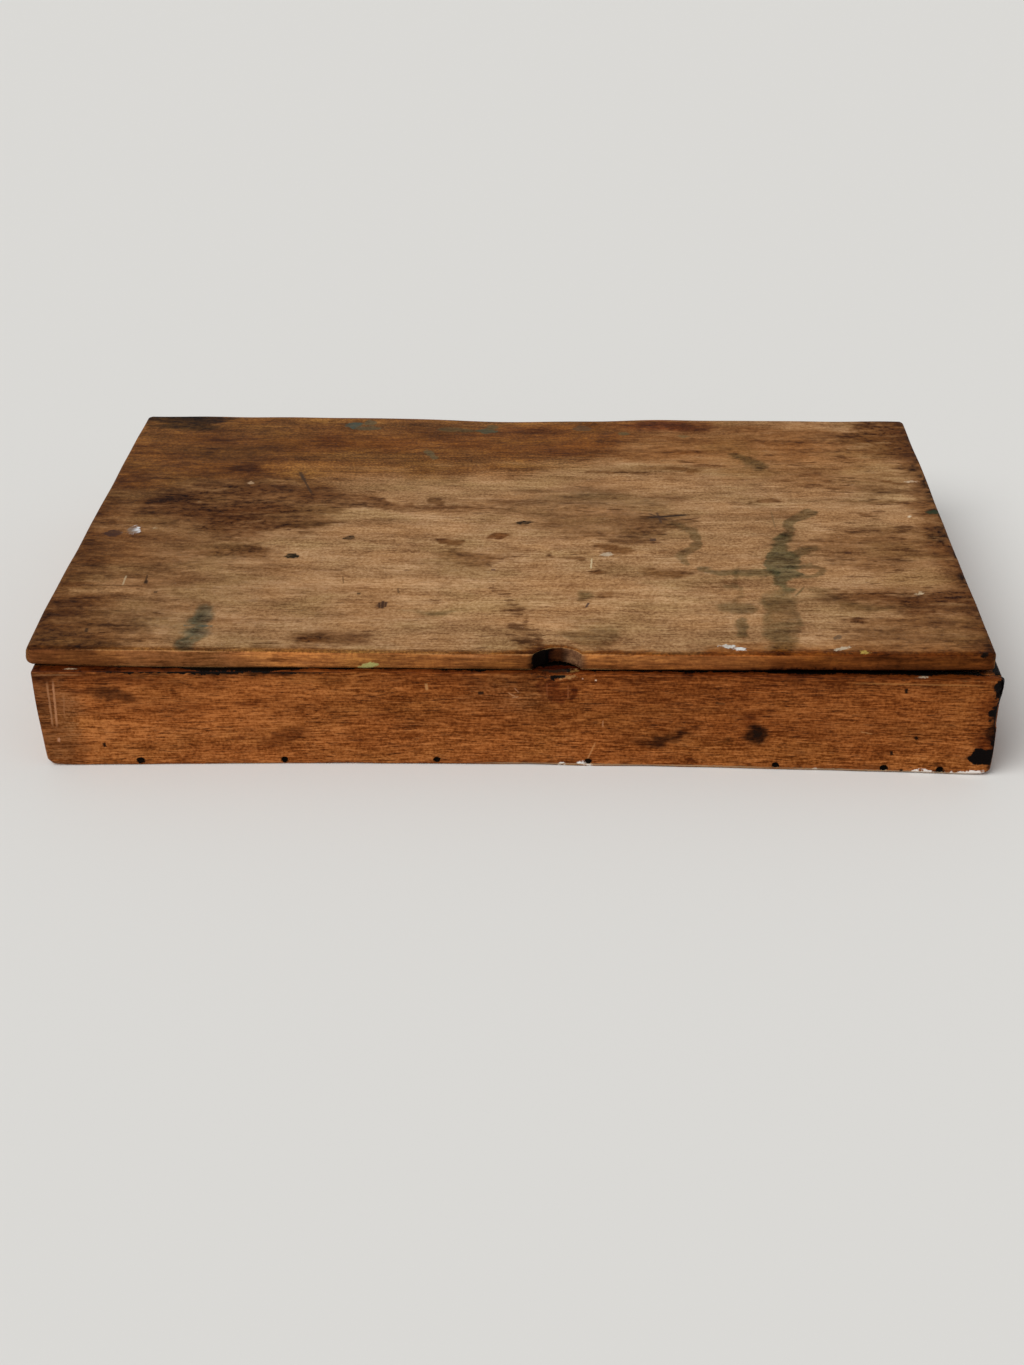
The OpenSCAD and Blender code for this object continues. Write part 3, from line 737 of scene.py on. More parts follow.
lid["blots"] = {
    # x, y, half length, half width, colour, cover, and its turn if it has one
    "knot": (1.5, 1, 4.2, 2.4, "140e08", 0.95, 10),
    "spotA": (-80.3, -17.3, 3, 1.9, "1a120c", 0.95),
    "spotB": (-104.5, -36.5, 3.8, 2.3, "1c170d", 0.95),
    "spotC": (-58.3, -83.4, 2.6, 3.8, "4a3020", 0.75),
    "spotD": (-192.5, -15, 3.4, 4.2, "38241f", 0.85),
    "whiteDab": (-182, -10, 2, 3.8, "d4d6da", 1.1, 15),
    "dabShade": (-184.5, -11.5, 1.8, 4, "7c7670", 0.6, 10),
    "rightGreen": (198, 14, 4, 2.2, "26301f", 0.9),
    "spotG": (136.8, -110, 1.8, 2.8, "4a3c30", 0.7),
    "tealBright": (-93, 118, 4.5, 3.6, "2a4c48", 0.8, 12),
    "tealSpread": (-86, 115, 9, 2.6, "424a3a", 0.6, -6),
    "tealUp": (-85, 122, 3.2, 4, "444a3a", 0.6, 10),
    "tealFaint": (-38, 115, 10, 3.2, "4e4a30", 0.5),
    "tealRight": (-22, 114, 4.4, 4, "3a4a3a", 0.7),
    "tealRise": (-19, 121, 2.4, 4.4, "444a32", 0.55),
    "tealSlant": (-49, 80, 2.6, 7, "525640", 0.55, 28),
    "greyBack": (29, 118, 4.6, 4.4, "4e3d2c", 0.6),
    "greenBackA": (51, 110, 2.8, 2.4, "505038", 0.55),
    "greenBackB": (82, 106, 4, 2.4, "585236", 0.5),
    "whiteFrontA": (95.5, -120.5, 2.8, 1.8, "d2d1ce", 1, 20),
    "whiteFrontB": (90, -118.4, 1.8, 1.6, "c6c4be", 0.95),
    "whiteFrontC": (137, -119.6, 3.6, 1.2, "b9ab94", 0.8, 16),
    "yellowFront": (145, -123, 1.6, 1.2, "b39a4c", 0.85),
    "fleckA": (-174, -9, 0.9, 1.4, "b09a78", 0.8),
    "fleckB": (-135.5, 44, 2, 2, "b89a78", 0.65),
    "fleckC": (192, 50, 3.6, 1.2, "c0a88c", 0.8),
    "fleckE": (177, -71, 2.6, 1.5, "c4ae8e", 0.9, 30),
    "fleckF": (40, -33, 3, 2.2, "b8ac98", 0.6),
    "hole": (194.6, -124.6, 1.3, 1.1, "0c0704", 1.5),
}
lid["frontStains"] = {
    "edgeGlow": (0, 53, 300, 30, "glow", 1, 4),
    "edgeRight": (168, 52, 70, 8, "ember", 1.25, 3),
    "edgeLeft": (-190, 52, 26, 8, "cloud", 0.65, 3),
    "edgeDust": (-165, 52, 60, 8, "dust", 0.6, 4),
    # painted shade with some grime: a dark line along the foot of the front face, over the shadowed gap
    # under the lid
    "edgeFoot": (0, 48.4, 240, 0.8, "soot", 0.9, 0.6),
    "edgeFootRight": (130, 48.8, 90, 1.6, "cloud", 0.8, 1.2),
    # painted shade with some grime: the notch's left wall, turned away from the light, is darkened
    "notchSoot": (11.5, 52, 4.4, 14, "soot", 0.98, 2.5),
    "notchBrown": (17, 52, 5, 14, "char", 0.9, 2),
    "notchAsh": (25, 52, 5, 14, "ash", 0.95, 2),
    "edgePale": (-120, 52, 40, 8, "pale", 1, 3),
    "edgeMid": (-25, 52, 38, 8, "grey", 0.45, 4),
    "edgeBrown": (-4, 52, 14, 8, "umber", 0.5, 4),
}
lid["frontStrokes"] = {
    "yellowFleck": (((-64, 49.3), (-60, 50.4), (-57, 50.6)), (0.7, 1.2, 0.6), "aca666", 0.95),
    # painted shadow: a black crescent along the foot of the notch's wall, where its lower part lies in
    # shadow
    "notchFoot": (((9.5, 47.8), (18, 48.2), (27, 47.8)), (0.8, 1.4, 0.8), "060302", 1.8),
}
lid["frontBlots"] = {
    # painted shade with some grime: black on the notch's left wall, which is turned away from the light
    "notchDark": (10.8, 52, 2.6, 9, "0a0503", 1.6),
    "hole": (194.6, 55.8, 1.3, 1.2, "0c0704", 1.5),
}
lid["washes"] = {
    # points along the path, half widths, tint, strength, soft edge
    "stemTop": (((139, 13.5), (132, 7), (126.5, -4), (123.5, -14)),
                (3, 3.8, 3.2, 2.8), "smoke", 0.8, 2.2),
    "greenStem": (((122.5, -14), (120, -28), (118.5, -40), (119, -52), (120.5, -65)),
                  (2.6, 5, 6.6, 5.8, 2.6), "green", 1, 2.8),
    "greenSide": (((124, -32), (131, -29.5), (136, -26)), (2.4, 3, 1.8), "smoke", 0.8, 1.8),
    "greenLoop": (((124, -46), (131, -42.5), (137, -47), (133, -53), (125, -54.5)),
                  (1.8, 2, 2.6, 2.2, 1.8), "smoke", 0.7, 1.6),
    "greenArm": (((115, -51), (103, -51), (92, -49.5), (82, -46.5)),
                 (3.6, 2.8, 2.4, 2.2), "smoke", 0.8, 2),
    "stemFoot": (((118, -66), (114, -84)), (3, 5), "olive", 0.5, 3),
    "trunk": (((114.5, -72), (114.5, -100), (114, -124)), (6.6, 7.2, 7.6), "olive", 0.5, 2.4),
    "trunkLeft": (((109.5, -75), (109, -97)), (1.6, 1.6), "smoke", 0.4, 1.8),
    "trunkRight": (((121, -74), (121, -100)), (1.4, 1.4), "smoke", 0.4, 1.6),
    "trunkLow": (((113, -107), (113, -121)), (6, 7), "smoke", 0.45, 3),
    "trunkDash": (((112, -99.5), (120, -99.5)), (1.2, 1.2), "smoke", 0.6, 1.4),
    "oliveBlob": (((88, -83.5), (99, -84.5)), (4.4, 5), "smoke", 0.75, 2.4),
    "oliveTop": (((92, -65.5), (98, -65)), (2, 2), "smoke", 0.5, 2),
    "oliveDrop": (((96.3, -96), (96.3, -109)), (2.6, 2.2), "smoke", 0.8, 1.8),
    "oliveThread": (((100.5, -46), (97, -80)), (1.4, 1.2), "olive", 0.5, 1.6),
    "oliveCurve": (((71, 0), (80, -7), (83.5, -15), (79.5, -25), (76.5, -34), (76.5, -41)),
                   (2, 2.8, 3.4, 3.6, 3.4, 2.6), "smoke", 0.65, 1.8),
    "rightArc": (((132, -66), (137, -76), (147, -83), (160, -84)), (2.4, 3.6, 3.6, 2), "olive", 0.45, 2.6),
    "slantOlive": (((107, 82), (114, 75), (119, 67)), (2.6, 5, 4.4), "smoke", 0.9, 1.8),
    "tealTop": (((-136, -89), (-136, -95), (-136, -100.5)), (4, 5.2, 4.8), "teal", 0.9, 1.2),
    "tealFoot": (((-136.5, -109), (-137, -116), (-138, -125)), (4.8, 4.4, 3.4), "teal", 0.85, 1.4),
    "tealHaze": (((-140, -94), (-141, -121)), (4, 4), "olive", 0.25, 4),
}
lid["strokes"] = {
    # points along the path, half widths, colour, cover
    "tealLine": (((-141, -104), (-131, -104.4)), (0.8, 0.8), "3c4a44", 0.7),
}
lid["dashZones"] = {
    # points along the path, half widths, strength, soft edge
    "column": (((-6, -52), (-2, -70), (0, -82), (4, -104), (9, -122)), (1, 3, 4.5, 4.5, 6), 1.2, 3),
    "cloud": (((-170, 25), (-120, 10), (-60, 22)), (14, 20, 10), 0.5, 12),
    "middle": (((20, 30), (60, 10), (60, -20)), (14, 16, 10), 0.5, 12),
    "rightSide": (((150, 50), (170, 0), (165, -60)), (20, 24, 20), 0.45, 16),
    "backRight": (((60, 70), (140, 60), (190, 80)), (8, 14, 14), 0.5, 12),
    "frontLeft": (((-195, -70), (-190, -115)), (14, 16), 0.2, 12),
}
low, high = boxOf("lid_board")
lid["fine"] = {0: [(lid["notchAt"], 13.0, 0.65)], 1: [(low[1] + 5.2, 3.4, 0.8)]}
lid["through"] = smallMarks(lid["blots"], 0, 1)
flat, quads = boardShell(low, high, lid)
x, y, z = flat.T
corner = np.hypot(x - low[0], y - low[1])
radius = np.where(z > (low[2] + high[2]) / 2, lid["topEdge"], lid["lowEdge"])
radius = radius * (1 + lid["wear"] * ripple(flat, 55, lid["seed"]))
radius += lid["bullnose"] * np.exp(-corner / lid["noseReach"])
points = roundEdges(flat, low, high, radius.clip(*lid["edgeLimits"]))
points = roundCorners(points, low, high, lid["planCorner"])

# the notch is a circle's arc that pushes the front edge back, less and less behind it
half = lid["notchWide"] / 2
arc = (half ** 2 + lid["notchDeep"] ** 2) / (2 * lid["notchDeep"])
inset = np.sqrt(np.maximum(arc ** 2 - (x - lid["notchAt"]) ** 2, 0)) - (arc - lid["notchDeep"])
inset = np.maximum(inset, 0) + lid["notchRough"] * ripple(flat, 9, 8) * (inset > 0)
inset = np.maximum(inset, 0)
points[:, 1] += inset * np.clip(1 - (y - low[1]) / lid["notchFade"], 0, 1)

# twist between the four corners, sag along the front, and a dip in the middle of the back edge
across = (x - low[0]) / (high[0] - low[0])
deep = (y - low[1]) / (high[1] - low[1])
lift = lid["cornerLift"]
rise = (lift["frontLeft"] * (1 - across) + lift["frontRight"] * across) * (1 - deep)
rise += (lift["backLeft"] * (1 - across) + lift["backRight"] * across) * deep
rise -= lid["frontSag"] * (1 - (2 * across - 1) ** 2) * (1 - deep) ** lid["sagFade"]
dip = np.exp(-((x - lid["dipAt"]) / lid["dipWide"]) ** 2)
rise -= lid["backDip"] * dip * deep ** lid["dipFade"]
points[:, 2] += rise + lid["warp"] * ripple(flat, 60, 11)
lower = (high[2] - z) / (high[2] - low[2])
points[:, 2] -= lid["lipDrop"] * lower * ease(-x, *lid["lipFrom"]) * (1 - deep) ** 2
points[:, 1] -= lid["backWear"] * dip * ease(y, high[1] - lid["wearReach"], high[1])

onTop, under, onFront = onPlane(z, high[2]), onPlane(z, low[2]), onPlane(y, low[1])
fields = newFields(flat, low, high, 21, lid["rubAndHighlightReach"])
# the arris is rubbed paler towards the front: worn edge, along the front partly a painted highlight
fields["edge"] *= lid["rubElsewhere"] + (1 - lid["rubElsewhere"]) * ease(-y, *lid["rubAndHighlightFront"])
fields["edge"] *= 1 - lid["rubLoss"] * ease(x, *lid["rubRight"])

# the varnish is whole behind its ragged edge, thinner at the right, and kept along the rims
edgeX, edgeY = zip(*lid["varnishEdge"])
behind = y - np.interp(x, edgeX, edgeY) + lid["varnishRagged"] * ripple(flat[:, :2], 60, 5)
varnish = ease(behind, *lid["varnishSoft"]) * (1 - lid["thinBy"] * ease(x, *lid["thinRight"]))
for share, toRim, start, end in ((0.9, -y, 119.5, 124.5), (0.55, -x, 120, 200), (0.5, x, 175, 200)):
    varnish = np.maximum(varnish, share * ease(toRim, start, end))
fields["varnish"] = np.where(onTop > 0, varnish, np.where(under > 0, 0.0, 0.9))
fields["outer"] = onTop
u, v = wander(flat, ((46, 3, 1.5), (17, 2.6, 1.2), (7, 1.4, 0.7)), 100).T
layStains(fields, onTop, u, v, lid["stains"])
for path, halves, strength, soft in lid["dashZones"].values():
    near = strength * ease(strokeDepth(u, v, path, halves), -soft, soft) * onTop
    fields["dashes"] = np.maximum(fields["dashes"], near)
u, v = wander(flat, ((24, 1.8, 1.3), (9, 0.6, 0.5)), 110).T
layWashes(fields, onTop, u, v, lid["washes"])
u, v = wander(flat, ((11, 0.9, 0.6), (5, 0.6, 0.4)), 120).T
layBlots(fields, onTop, u, v, lid["blots"])
layStrokes(fields, onTop, u, v, lid["strokes"])
layStains(fields, onFront, x, z, lid["frontStains"])
fields["stainCover"] *= 1 + lid["frontSoak"] * onFront
# painted shade with some grime: the lid's underside is darkened for a few mm behind its front edge and the
# notch, where the gap under the lid lies in shadow
grime = lid["shadeGrimeWide"] + lid["shadeGrimeRagged"] * ripple(flat[:, :2], 30, 91) - (y - low[1]) - inset
soak(fields, lid["shadeGrimeCover"] * ease(grime, *lid["shadeGrimeSoft"]) * under, "cloud", 1.0)
layStrokes(fields, onFront, x, z, lid["frontStrokes"])
layBlots(fields, onFront, x, z, lid["frontBlots"])
makePiece("lidBoard", points, quads, fields, lidWood, "lid", ["lid_board"])

# Front board: bowed inwards, more at the base than at the rim, with a gouge under the notch
front = dict(
    edge=1.2, wear=0.35, seed=14, step=(1.3, 1.6, 1.2), edgeLimits=(0.5, 4.4),
    thick=9.5, lip=4.5, rabbetAt=193.6,
    bowBase=4.8, bowRim=2.4, warp=0.1, rimLeft=0.25, rimRight=-0.1, lean=0.8, leanFrom=190,
    cornerLeft=3.2, cornerRight=2.4, cornerReach=6,
    rimRound=1.6, roundFrom=(40, 150), roundAbove=24, rimSoak=0.4, rimLoss=0.5,
    chip=1.3, chipFrom=(199.4, 200.6), chipHigh=(38, 40), chipRough=0.4, chipDeep=2,
    lump=1.3, lumpReach=2, lumpHigh=(35, 41), lumpBack=6, lumpWide=4,
    scoopAt=18.5, scoopOut=8.125, scoopRadius=14.6, scoopRough=0.02,
    nailShares=(0.103, 0.256, 0.418, 0.579, 0.776, 0.889, 0.947), ring=(1.5, "080403", 1.6), endBlack=35,
)
front["rimStains"] = {
    "rimShade": (0, -122, 240, 7, "cloud", 0.9, 3),
    "rimDirt": (0, -128, 240, 4, "umber", 0.8, 2),
    "rimRub": (10, -127.5, 60, 3, "umber", 0.6, 2),
    "notchRim": (18.5, -125.5, 11, 3.4, "cloud", 1.1, 1),
    # painted shade with some grime: the left of the rim is darkened where the lid's shadow falls on it
    "rimLeft": (-178, -127.5, 60, 6, "cloud", 1.05, 3),
    "rimDust": (-178, -127.5, 50, 6, "dust", 0.6, 3),
    "rimRight": (140, -127.5, 80, 5, "umber", 0.8, 3),
}
front["rimStrokes"] = {
    # painted shade with some grime: black on the rim under the lid's front edge, where the gap lies in
    # shadow
    "underLidLeft": (((-204, -123.6), (-100, -125.2), (5, -126)), (1.8, 2, 2), "060302", 1.7),
    "underLidRight": (((32, -126), (100, -125.6), (160, -125), (204, -124.4)),
                      (2, 2, 1.8, 1.6), "060302", 1.7),
    # painted shade with some grime: black on the left of the rim, in the lid's shadow
    "rimBlackLeft": (((-160, -126), (-140, -127), (-110, -127.5), (-80, -126)),
                     (0.6, 2.2, 3.4, 0.6), "080402", 1.7),
    # painted shadow: black on the rim under the notch's wall
    "underNotch": (((10, -121), (18.5, -119.8), (27, -121)), (3.2, 3.2, 3.2), "060302", 1.8),
    "rimBlackRight": (((202, -118), (205, -118)), (8, 10), "080402", 1.8),
}
front["rimBlots"] = {
    "gougePale": (22.6, -126.8, 2.6, 0.8, "9a7448", 0.7, -8),
    "gougeFront": (21.5, -128.4, 3.4, 0.8, "8e6836", 0.7, 6),
    "gougeHole": (17.6, -127.4, 2.2, 1.6, "0a0503", 1.6),
    "gougeDark": (12.5, -127.6, 3.6, 1.1, "241409", 1.2),
    "rimChip": (-188, -128.6, 3, 0.8, "b8a082", 0.9),
    "rimChipRight": (166, -127.6, 1.8, 0.8, "a89880", 0.8),
}
front["stains"] = {
    "leftDust": (-200, 24, 15, 34, "dust", 0.9, 5),
    "leftEnd": (-203, 26, 8, 40, "umber", 0.7, 5),
    "leftFoot": (-190, 9, 7, 9, "umber", 0.5, 4),
    "leftTop": (-182, 43.5, 30, 4, "cloud", 0.5, 3),
    "smearLeft": (-169.5, 35.6, 10, 2.8, "char", 0.62, 1.6, -12),
    "smearTail": (-184, 38, 9, 1.5, "cloud", 0.65, 1.3),
    "leftBrown": (-160, 34, 34, 8, "umber", 0.3, 8),
    "topGrime": (0, 46, 240, 5, "umber", 0.4, 4),
    "footGrime": (0, 0, 240, 2.4, "umber", 0.5, 2),
    "midBrown": (0, 30, 120, 10, "umber", 0.2, 10),
    "midDust": (-1, 36, 16, 10, "dust", 0.6, 6),
    "rightBrown": (130, 28, 100, 20, "umber", 0.25, 12),
    "spotsA": (-111, 32, 5, 1.4, "cloud", 0.7, 1.3),
    "spotsB": (-116.6, 14.8, 3, 1.3, "cloud", 0.65, 1.3),
    "midDark": (-98, 14.5, 10, 3.4, "cloud", 0.6, 3, 20),
    "scarLeft": (12.4, 39.4, 1.8, 5.4, "scar", 0.6, 0.8),
    "scarMid": (18.7, 38.6, 4.3, 5.2, "scar", 0.75, 0.7),
    "scarRight": (25.4, 37.6, 2.2, 3.8, "cloud", 0.95, 0.7),
    "scarSide": (6, 41, 7, 5, "umber", 0.35, 3),
    "smudge": (64.5, 15, 11.5, 4.2, "char", 0.5, 2.6, 10),
    "smudgeCore": (62, 14.2, 5, 2.2, "soot", 0.55, 1.4, 20),
    "smudgeTip": (71, 16.8, 5, 1.7, "char", 0.8, 1.2),
    "darkPatch": (103.6, 18.4, 4.6, 4.4, "soot", 0.9, 1.4),
    "darkPatchTop": (101.5, 24.6, 4.2, 3.4, "cloud", 0.65, 2.4),
    "spotOlive": (90.5, 15.2, 2, 1.3, "olive", 0.95, 1),
    "spotLow": (75.4, 4.1, 3, 0.9, "cloud", 0.9, 0.8),
    # painted shade with some grime: the top arris of the front face at the left, darkened with the lid's
    # shadow on the rim
    "rimDark": (-120, 46.8, 44, 1.4, "soot", 0.8, 1),
    "rimGrime": (130, 46, 80, 1.6, "umber", 0.7, 1.2),
    "rightEdge": (203, 24, 2.4, 24, "soot", 0.9, 1.5),
    "rightHaze": (199, 14, 6, 7, "cloud", 0.9, 2.5),
    "rightHazeTop": (198, 34, 6, 5, "umber", 0.9, 2.5),
}
front["blots"] = {
    "darkCore": (103.4, 17.6, 2.4, 2, "1a0d06", 0.9),
    "gougePale": (22.2, 45.2, 2.4, 1.5, "9a7448", 0.65),
    "gougeRight": (26, 45.6, 2.4, 0.8, "8e6c44", 0.6),
    "gougeHole": (18.6, 45.8, 1.4, 1.4, "0a0503", 1.6),
    "gougeDark": (13, 46, 4, 0.8, "3a2012", 1),
    "stainRightC": (203, 20, 1.5, 14, "0a0504", 1.7),
    "stainRightD": (202, 43, 2.6, 5.4, "0c0604", 1.6),
    "paleLeft": (-195.2, 13.4, 1.4, 1.3, "c08c6c", 0.8),
    "chipA": (30.2, 1.5, 2.2, 1, "f2f1ee", 1.8),
    "chipB": (20.6, 0.8, 1.3, 0.7, "eceae4", 1.8),
    "chipC": (174.5, 0.9, 4.4, 0.9, "eee6e0", 1.8),
    "chipD": (193.5, 0.9, 5.6, 1, "eee6e0", 1.8),
    "chipE": (129, 0.6, 1, 0.6, "d8ccc0", 1.5),
}
front["strokes"] = {
    # painted shade with some grime: black along the top arris at the left, part of the lid's shadow on the
    # rim
    "rimSmear": (((-172, 47), (-120, 47), (-78, 47)), (0.4, 1.2, 0.4), "0c0604", 1.6),
    "stainRightA": (((200, 31.6), (204, 31.6)), (2.3, 2.5), "0a0504", 1.8),
    "stainRightB": (((196.8, 9.4), (204, 9.4)), (3.5, 3.6), "0a0504", 1.8),
}
low, high = boxOf("front_board")
high[1] = low[1] + front["thick"]  # the box less the bow
nailX = [(share - 0.5) * (high[0] - low[0]) for share in front["nailShares"]]
front["fine"] = {
    0: [(front["scoopAt"], 11, 0.6)] + [(at, 2.0, 0.4) for at in nailX],
    1: [(low[1] + 2.6, 1.2, 0.4), (low[1] + 5.0, 1.2, 0.4)],
    2: [(nail["high"], 2.0, 0.4), (44.0, 2.8, 0.5)],
}
front["through"] = smallMarks(front["blots"], 0, 2)
flat, quads = boardShell(low, high, front)
x, y, z = flat.T
onFront, onRim, onEnd = onPlane(y, low[1]), onPlane(z, high[2]), onPlane(np.abs(x), high[0])
radius = front["edge"] * (1 + front["wear"] * ripple(flat, 40, front["seed"]))
radius += front["rimRound"] * ease(x, *front["roundFrom"]) * (z > front["roundAbove"])
for extra, end in ((front["cornerLeft"], low[0]), (front["cornerRight"], high[0])):
    radius += extra * np.exp(-np.hypot(x - end, z - low[2]) / front["cornerReach"])
points = roundEdges(flat, low, high, radius.clip(*front["edgeLimits"]))
fields = newFields(flat, low, high, 33)
fields["outer"] = onFront
u, v = wander(flat[:, [0, 2, 1]], ((20, 1.6, 0.8), (7, 1.0, 0.6), (3.4, 0.5, 0.4)), 140).T
layStains(fields, onFront, u, v, front["stains"])
u, v = wander(flat[:, [0, 2, 1]], ((9, 0.9, 0.6), (4, 0.4, 0.3)), 160).T
layBlots(fields, onFront, u, v, front["blots"])
layStrokes(fields, onFront, u, v, front["strokes"])
u, v = wander(flat, ((25, 3.0, 0.6), (6, 1.0, 0.4)), 180).T
layStains(fields, onRim, u, v, front["rimStains"])
fields["stainCover"] *= 1 + front["rimSoak"] * onRim
layStrokes(fields, onRim, u, v, front["rimStrokes"])
layBlots(fields, onRim, u, v, front["rimBlots"])
fields["edge"] *= 1 - front["rimLoss"] * ease(z, high[2] - 6, high[2] - 2)
fields["varnish"] = 1 - onPlane(y, high[1])
layStains(fields, onEnd, y, z, {"endDark": (low[1] + 4, 24, 12, 40, "umber", 0.7, 6)})
layMarks(fields, onEnd * (x > 0), z - front["endBlack"], *blackGrime)

driveNails(points, fields, onFront, x, z, [(at, nail["high"]) for at in nailX], 1, 1, front["ring"])
lip = np.minimum(points[:, 1], low[1] + front["lip"])
points[:, 1] = np.where(np.abs(x) > front["rabbetAt"], lip, points[:, 1])
share = z / high[2]
bow = front["bowBase"] + (front["bowRim"] - front["bowBase"]) * share
points[:, 1] += bow * (1 - (x / high[0]) ** 2) + front["warp"] * ripple(flat, 50, 6)
across = 0.5 + x / (2 * high[0])
points[:, 2] += share * (front["rimLeft"] * (1 - across) + front["rimRight"] * across)
points[:, 0] += front["lean"] * (1 - share) * ease(-x, front["leanFrom"], high[0])

# the right end's top: a chip out of its front, and a lump that stands out behind it
chipped = ease(x, *front["chipFrom"]) * ease(z, *front["chipHigh"])
chipped *= 1 + front["chipRough"] * ripple(flat, 4, 29)
points[:, 1] += front["chip"] * chipped * (y < low[1] + front["chipDeep"])
swell = ease(x, high[0] - front["lumpReach"], high[0]) * ease(z, *front["lumpHigh"])
swell *= np.exp(-((y - low[1] - front["lumpBack"]) / front["lumpWide"]) ** 2)
points[:, 0] += front["lump"] * swell

# the gouge: whatever lies inside a ball in front of the rim is pushed out to its surface
outBy = front["scoopOut"]
ball = np.array([front["scoopAt"], low[1] + front["bowRim"] - outBy, high[2] + outBy])
out = points - ball
reach = np.linalg.norm(out, axis=1)
ballRadius = front["scoopRadius"] * (1 + front["scoopRough"] * ripple(flat, 5, 17))
points = np.where((reach < ballRadius)[:, None], ball + out * (ballRadius / reach)[:, None], points)
makePiece("frontBoard", points, quads, fields, frontWood, "case", ["front_board"])


# Back and end boards: plain boards with worn edges and sunk nails
def plainBoard(name, node, plan, material, body, shape, edgeLimits=(0.3, 3)):
    low, high = boxOf(node)
    flat, quads = boardShell(low, high, plan)
    radius = plan["edge"] * (1 + plan["wear"] * ripple(flat, 40, plan["seed"]))
    points = roundEdges(flat, low, high, radius.clip(*edgeLimits))
    fields = newFields(flat, low, high, plan["seed"] + 1)
    shape(points, flat, fields, low, high)
    makePiece(name, points, quads, fields, material, body, [node])


back = dict(
    edge=1.0, wear=0.35, seed=41, step=(2.2, 2.0, 2.0), lip=4.5, rabbetAt=193.6,
    nailsAt=np.linspace(-169, 169, 7), cornerNailAt=198.25, cornerNailHigh=(8, 23.5, 39),
)
back["fine"] = {
    0: [(at, 2.0, 0.5) for at in [*back["nailsAt"], back["cornerNailAt"], -back["cornerNailAt"]]],
    2: [(nail["high"], 2.0, 0.5)] + [(at, 1.8, 0.5) for at in back["cornerNailHigh"]],
}


def shapeBack(points, flat, fields, low, high):
    x, y, z = flat.T
    holes = [(at, nail["high"]) for at in back["nailsAt"]]
    holes += [(side * back["cornerNailAt"], at) for side in (-1, 1) for at in back["cornerNailHigh"]]
    driveNails(points, fields, onPlane(y, high[1]), x, z, holes, 1, -1, nail["ring"])
    lip = np.maximum(points[:, 1], high[1] - back["lip"])
    points[:, 1] = np.where(np.abs(x) > back["rabbetAt"], lip, points[:, 1])
    fields["varnish"] = 1 - onPlane(y, low[1])


plainBoard("backBoard", "back_board", back, caseWood, "case", shapeBack)

ends = dict(
    edge=0.9, wear=0.35, step=(2.0, 2.0, 2.0), nailsAt=np.linspace(-96.5, 96.5, 4),
    shadeSootAt=198, blackFrom=(199.6, -96), leanFrom=-130, leanReach=22,
)
ends["fine"] = {1: [(at, 2.0, 0.5) for at in ends["nailsAt"]], 2: [(nail["high"], 2.0, 0.5)]}


def shapeEnd(points, flat, fields, low, high):
    x, y, z = flat.T
    side = 1 if low[0] > 0 else -1
    inner, outer = (low[0], high[0]) if side > 0 else (high[0], low[0])
    holes = [(at, nail["high"]) for at in ends["nailsAt"]]
    driveNails(points, fields, onPlane(x, outer), y, z, holes, 0, -side, nail["ring"])
    fields["varnish"] = 1 - onPlane(x, inner)
    onRim = onPlane(z, high[2])
    # painted shade with some grime: the end board's top, which lies under the lid, is darkened
    layStains(fields, onRim, y, x, {"rimShadeSoot": (0, side * ends["shadeSootAt"], 200, 9, "soot", 0.8, 2)})
    if side > 0:
        blackX, blackY = ends["blackFrom"]
        grime = np.minimum(x - blackX, (blackY - y) / 4) + 0.5 * ripple(flat, 9, 63)
        layMarks(fields, onRim, grime, *blackGrime)
    else:
        lean = front["lean"] * np.exp((ends["leanFrom"] - y) / ends["leanReach"])
        points[:, 0] += lean * (1 - z / high[2])


for side, seed in (("left", 52), ("right", 61)):
    plan = dict(ends, seed=seed)
    plainBoard(side + "EndBoard", side + "_end_board", plan, endWood, "case", shapeEnd)


# Dividers and cleats: planed strips with softened edges
def shapeBare(points, flat, fields, low, high):
    fields["varnish"] = np.zeros(len(flat))


divider = dict(edge=0.8, wear=0.4, seed=70, step=(3.0, 3.0, 2.5))
plainBoard("longDivider", "long_divider", divider, innerWood, "case", shapeBare)
for side, seed in (("left", 73), ("middle", 74), ("right", 75)):
    name, node = side + "CrossDivider", side + "_cross_divider"
    plan = dict(divider, seed=seed)
    plainBoard(name, node, plan, innerCrossWood, "case", shapeBare)

cleat = dict(
    edge=0.9, wear=0.4, step=(2.0, 2.5, 2.0), bevel=4.0,
    screwMargin=24.0, screwCount=3, screwRadius=2.15, screwSunk=1.2,
)


def cleatScrews(low, high):
    along = np.linspace(low[1] + cleat["screwMargin"], high[1] - cleat["screwMargin"], cleat["screwCount"])
    return [((low[0] + high[0]) / 2, at) for at in along]


def shapeCleat(points, flat, fields, low, high):
    # the lower ends slope up: a point nearer the end than the bevel may not lie under the slope
    x, y, z = flat.T
    toEnd = np.minimum(points[:, 1] - low[1], high[1] - points[:, 1])
    points[:, 2] = np.maximum(points[:, 2], low[2] + np.maximum(cleat["bevel"] - toEnd, 0))
    below = onPlane(z, low[2])
    sinkHoles(points, below, x, y, cleatScrews(low, high), 2, cleat["screwSunk"], cleat["screwRadius"])
    shapeBare(points, flat, fields, low, high)


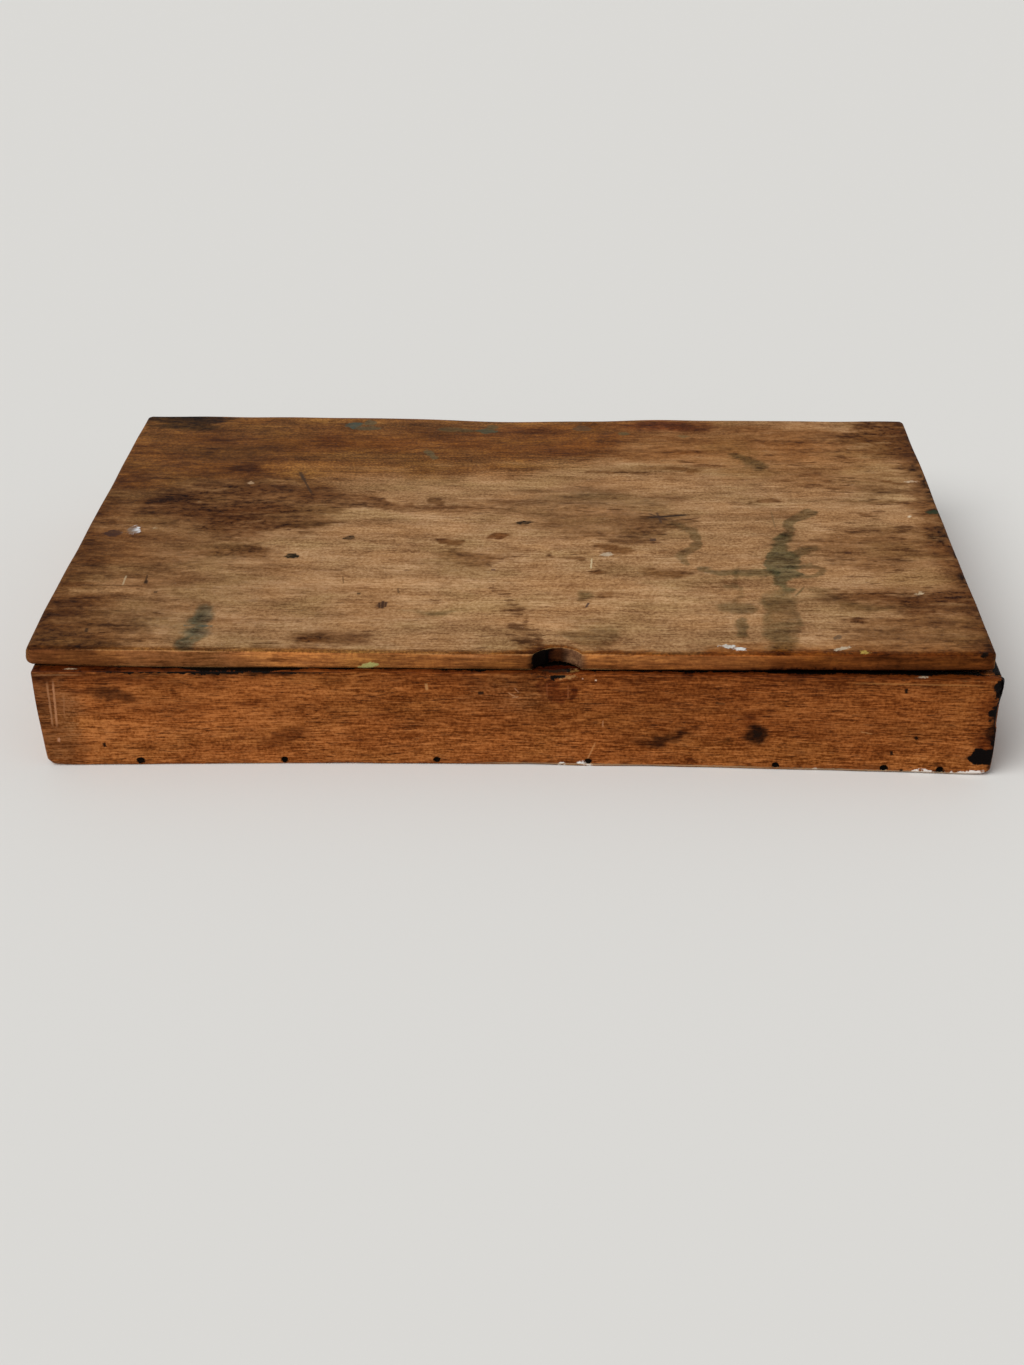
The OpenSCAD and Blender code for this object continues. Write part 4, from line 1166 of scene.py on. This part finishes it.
for side, seed in (("left", 80), ("right", 81)):
    name, node = side + "LidCleat", side + "_lid_cleat"
    low, high = boxOf(node)
    screws = cleatScrews(low, high)
    bevels = [(end, 1.0, 0.5) for end in (low[1] + cleat["bevel"], high[1] - cleat["bevel"])]
    fine = {0: [(screws[0][0], 3.2, 0.45)], 1: [(at, 3.2, 0.45) for middle, at in screws] + bevels}
    plan = dict(cleat, seed=seed, fine=fine)
    plainBoard(name, node, plan, innerCrossWood, "lid", shapeCleat)
print("boards made")

# Floor, light and camera
floor = dict(half=4.0, colour="dadad8", rough=0.85, shine=0.1)  # half its side, in metres
mesh = bpy.data.meshes.new("floor")
reach = floor["half"]
corners = [(-reach, -reach, 0), (reach, -reach, 0), (reach, reach, 0), (-reach, reach, 0)]
mesh.from_pydata(corners, [], [(0, 1, 2, 3)])
paper = bpy.data.materials.new("floorPaper")
paper.use_nodes = True
shader = paper.node_tree.nodes["Principled BSDF"]
shader.inputs["Base Color"].default_value = paint(floor["colour"])
shader.inputs["Roughness"].default_value = floor["rough"]
shader.inputs["Specular IOR Level"].default_value = floor["shine"]
mesh.materials.append(paper)
ground = bpy.data.objects.new("floor", mesh)
scene.collection.objects.link(ground)

sun = dict(source=(-1.0, -0.8, 1.6), strength=2.3, angle=45.0, colour=(1.0, 0.985, 0.965))
lamp = bpy.data.lights.new("windowLeft", "SUN")
lamp.energy = sun["strength"]
lamp.angle = np.radians(sun["angle"])
lamp.color = sun["colour"]
holder = bpy.data.objects.new("windowLeft", lamp)
holder.location = sun["source"]
holder.rotation_euler = (-Vector(sun["source"])).to_track_quat("-Z", "Y").to_euler()
scene.collection.objects.link(holder)

# the world lights evenly, and shows as a pale colour like the floor's to the camera and in reflections
air = dict(light=(1.0, 0.99, 0.98, 1), strength=0.43, shown="dedcd9")
room = bpy.data.worlds.new("room")
room.use_nodes = True
tree = room.node_tree
soft = tree.nodes["Background"]
soft.inputs["Color"].default_value = air["light"]
soft.inputs["Strength"].default_value = air["strength"]
pale = addNode(tree, "ShaderNodeBackground", {"Color": paint(air["shown"]), "Strength": 1.0})
rays = addNode(tree, "ShaderNodeLightPath", {}).outputs
seen = reckon(tree, "MAXIMUM", rays["Is Camera Ray"], rays["Is Glossy Ray"])
seen = reckon(tree, "MAXIMUM", seen, rays["Is Transmission Ray"])
both = addNode(tree, "ShaderNodeMixShader", {0: seen, 1: soft.outputs[0], 2: pale.outputs[0]})
tree.links.new(both.outputs[0], tree.nodes["World Output"].inputs["Surface"])
scene.world = room

view = dict(place=(25.62, -781.10, 425.22), pitch=30.343, yaw=2.276, roll=-0.634, lens=47.72, sensor=36.0)
pitch, yaw, roll = np.radians([view["pitch"], view["yaw"], view["roll"]])
ahead = Vector((-np.sin(yaw) * np.cos(pitch), np.cos(yaw) * np.cos(pitch), -np.sin(pitch)))
right = Vector((np.cos(yaw), np.sin(yaw), 0))
up = right.cross(ahead)
sideways = right * np.cos(roll) + up * np.sin(roll)
upward = up * np.cos(roll) - right * np.sin(roll)
lens = bpy.data.cameras.new("camera")
lens.lens = view["lens"]
lens.sensor_width = view["sensor"]
camera = bpy.data.objects.new("camera", lens)
camera.location = Vector(view["place"]) * mm
camera.rotation_euler = Matrix((sideways, upward, -ahead)).transposed().to_euler()
scene.collection.objects.link(camera)
scene.camera = camera
scene.view_settings.view_transform = "Standard"
print("floor, light and camera set")
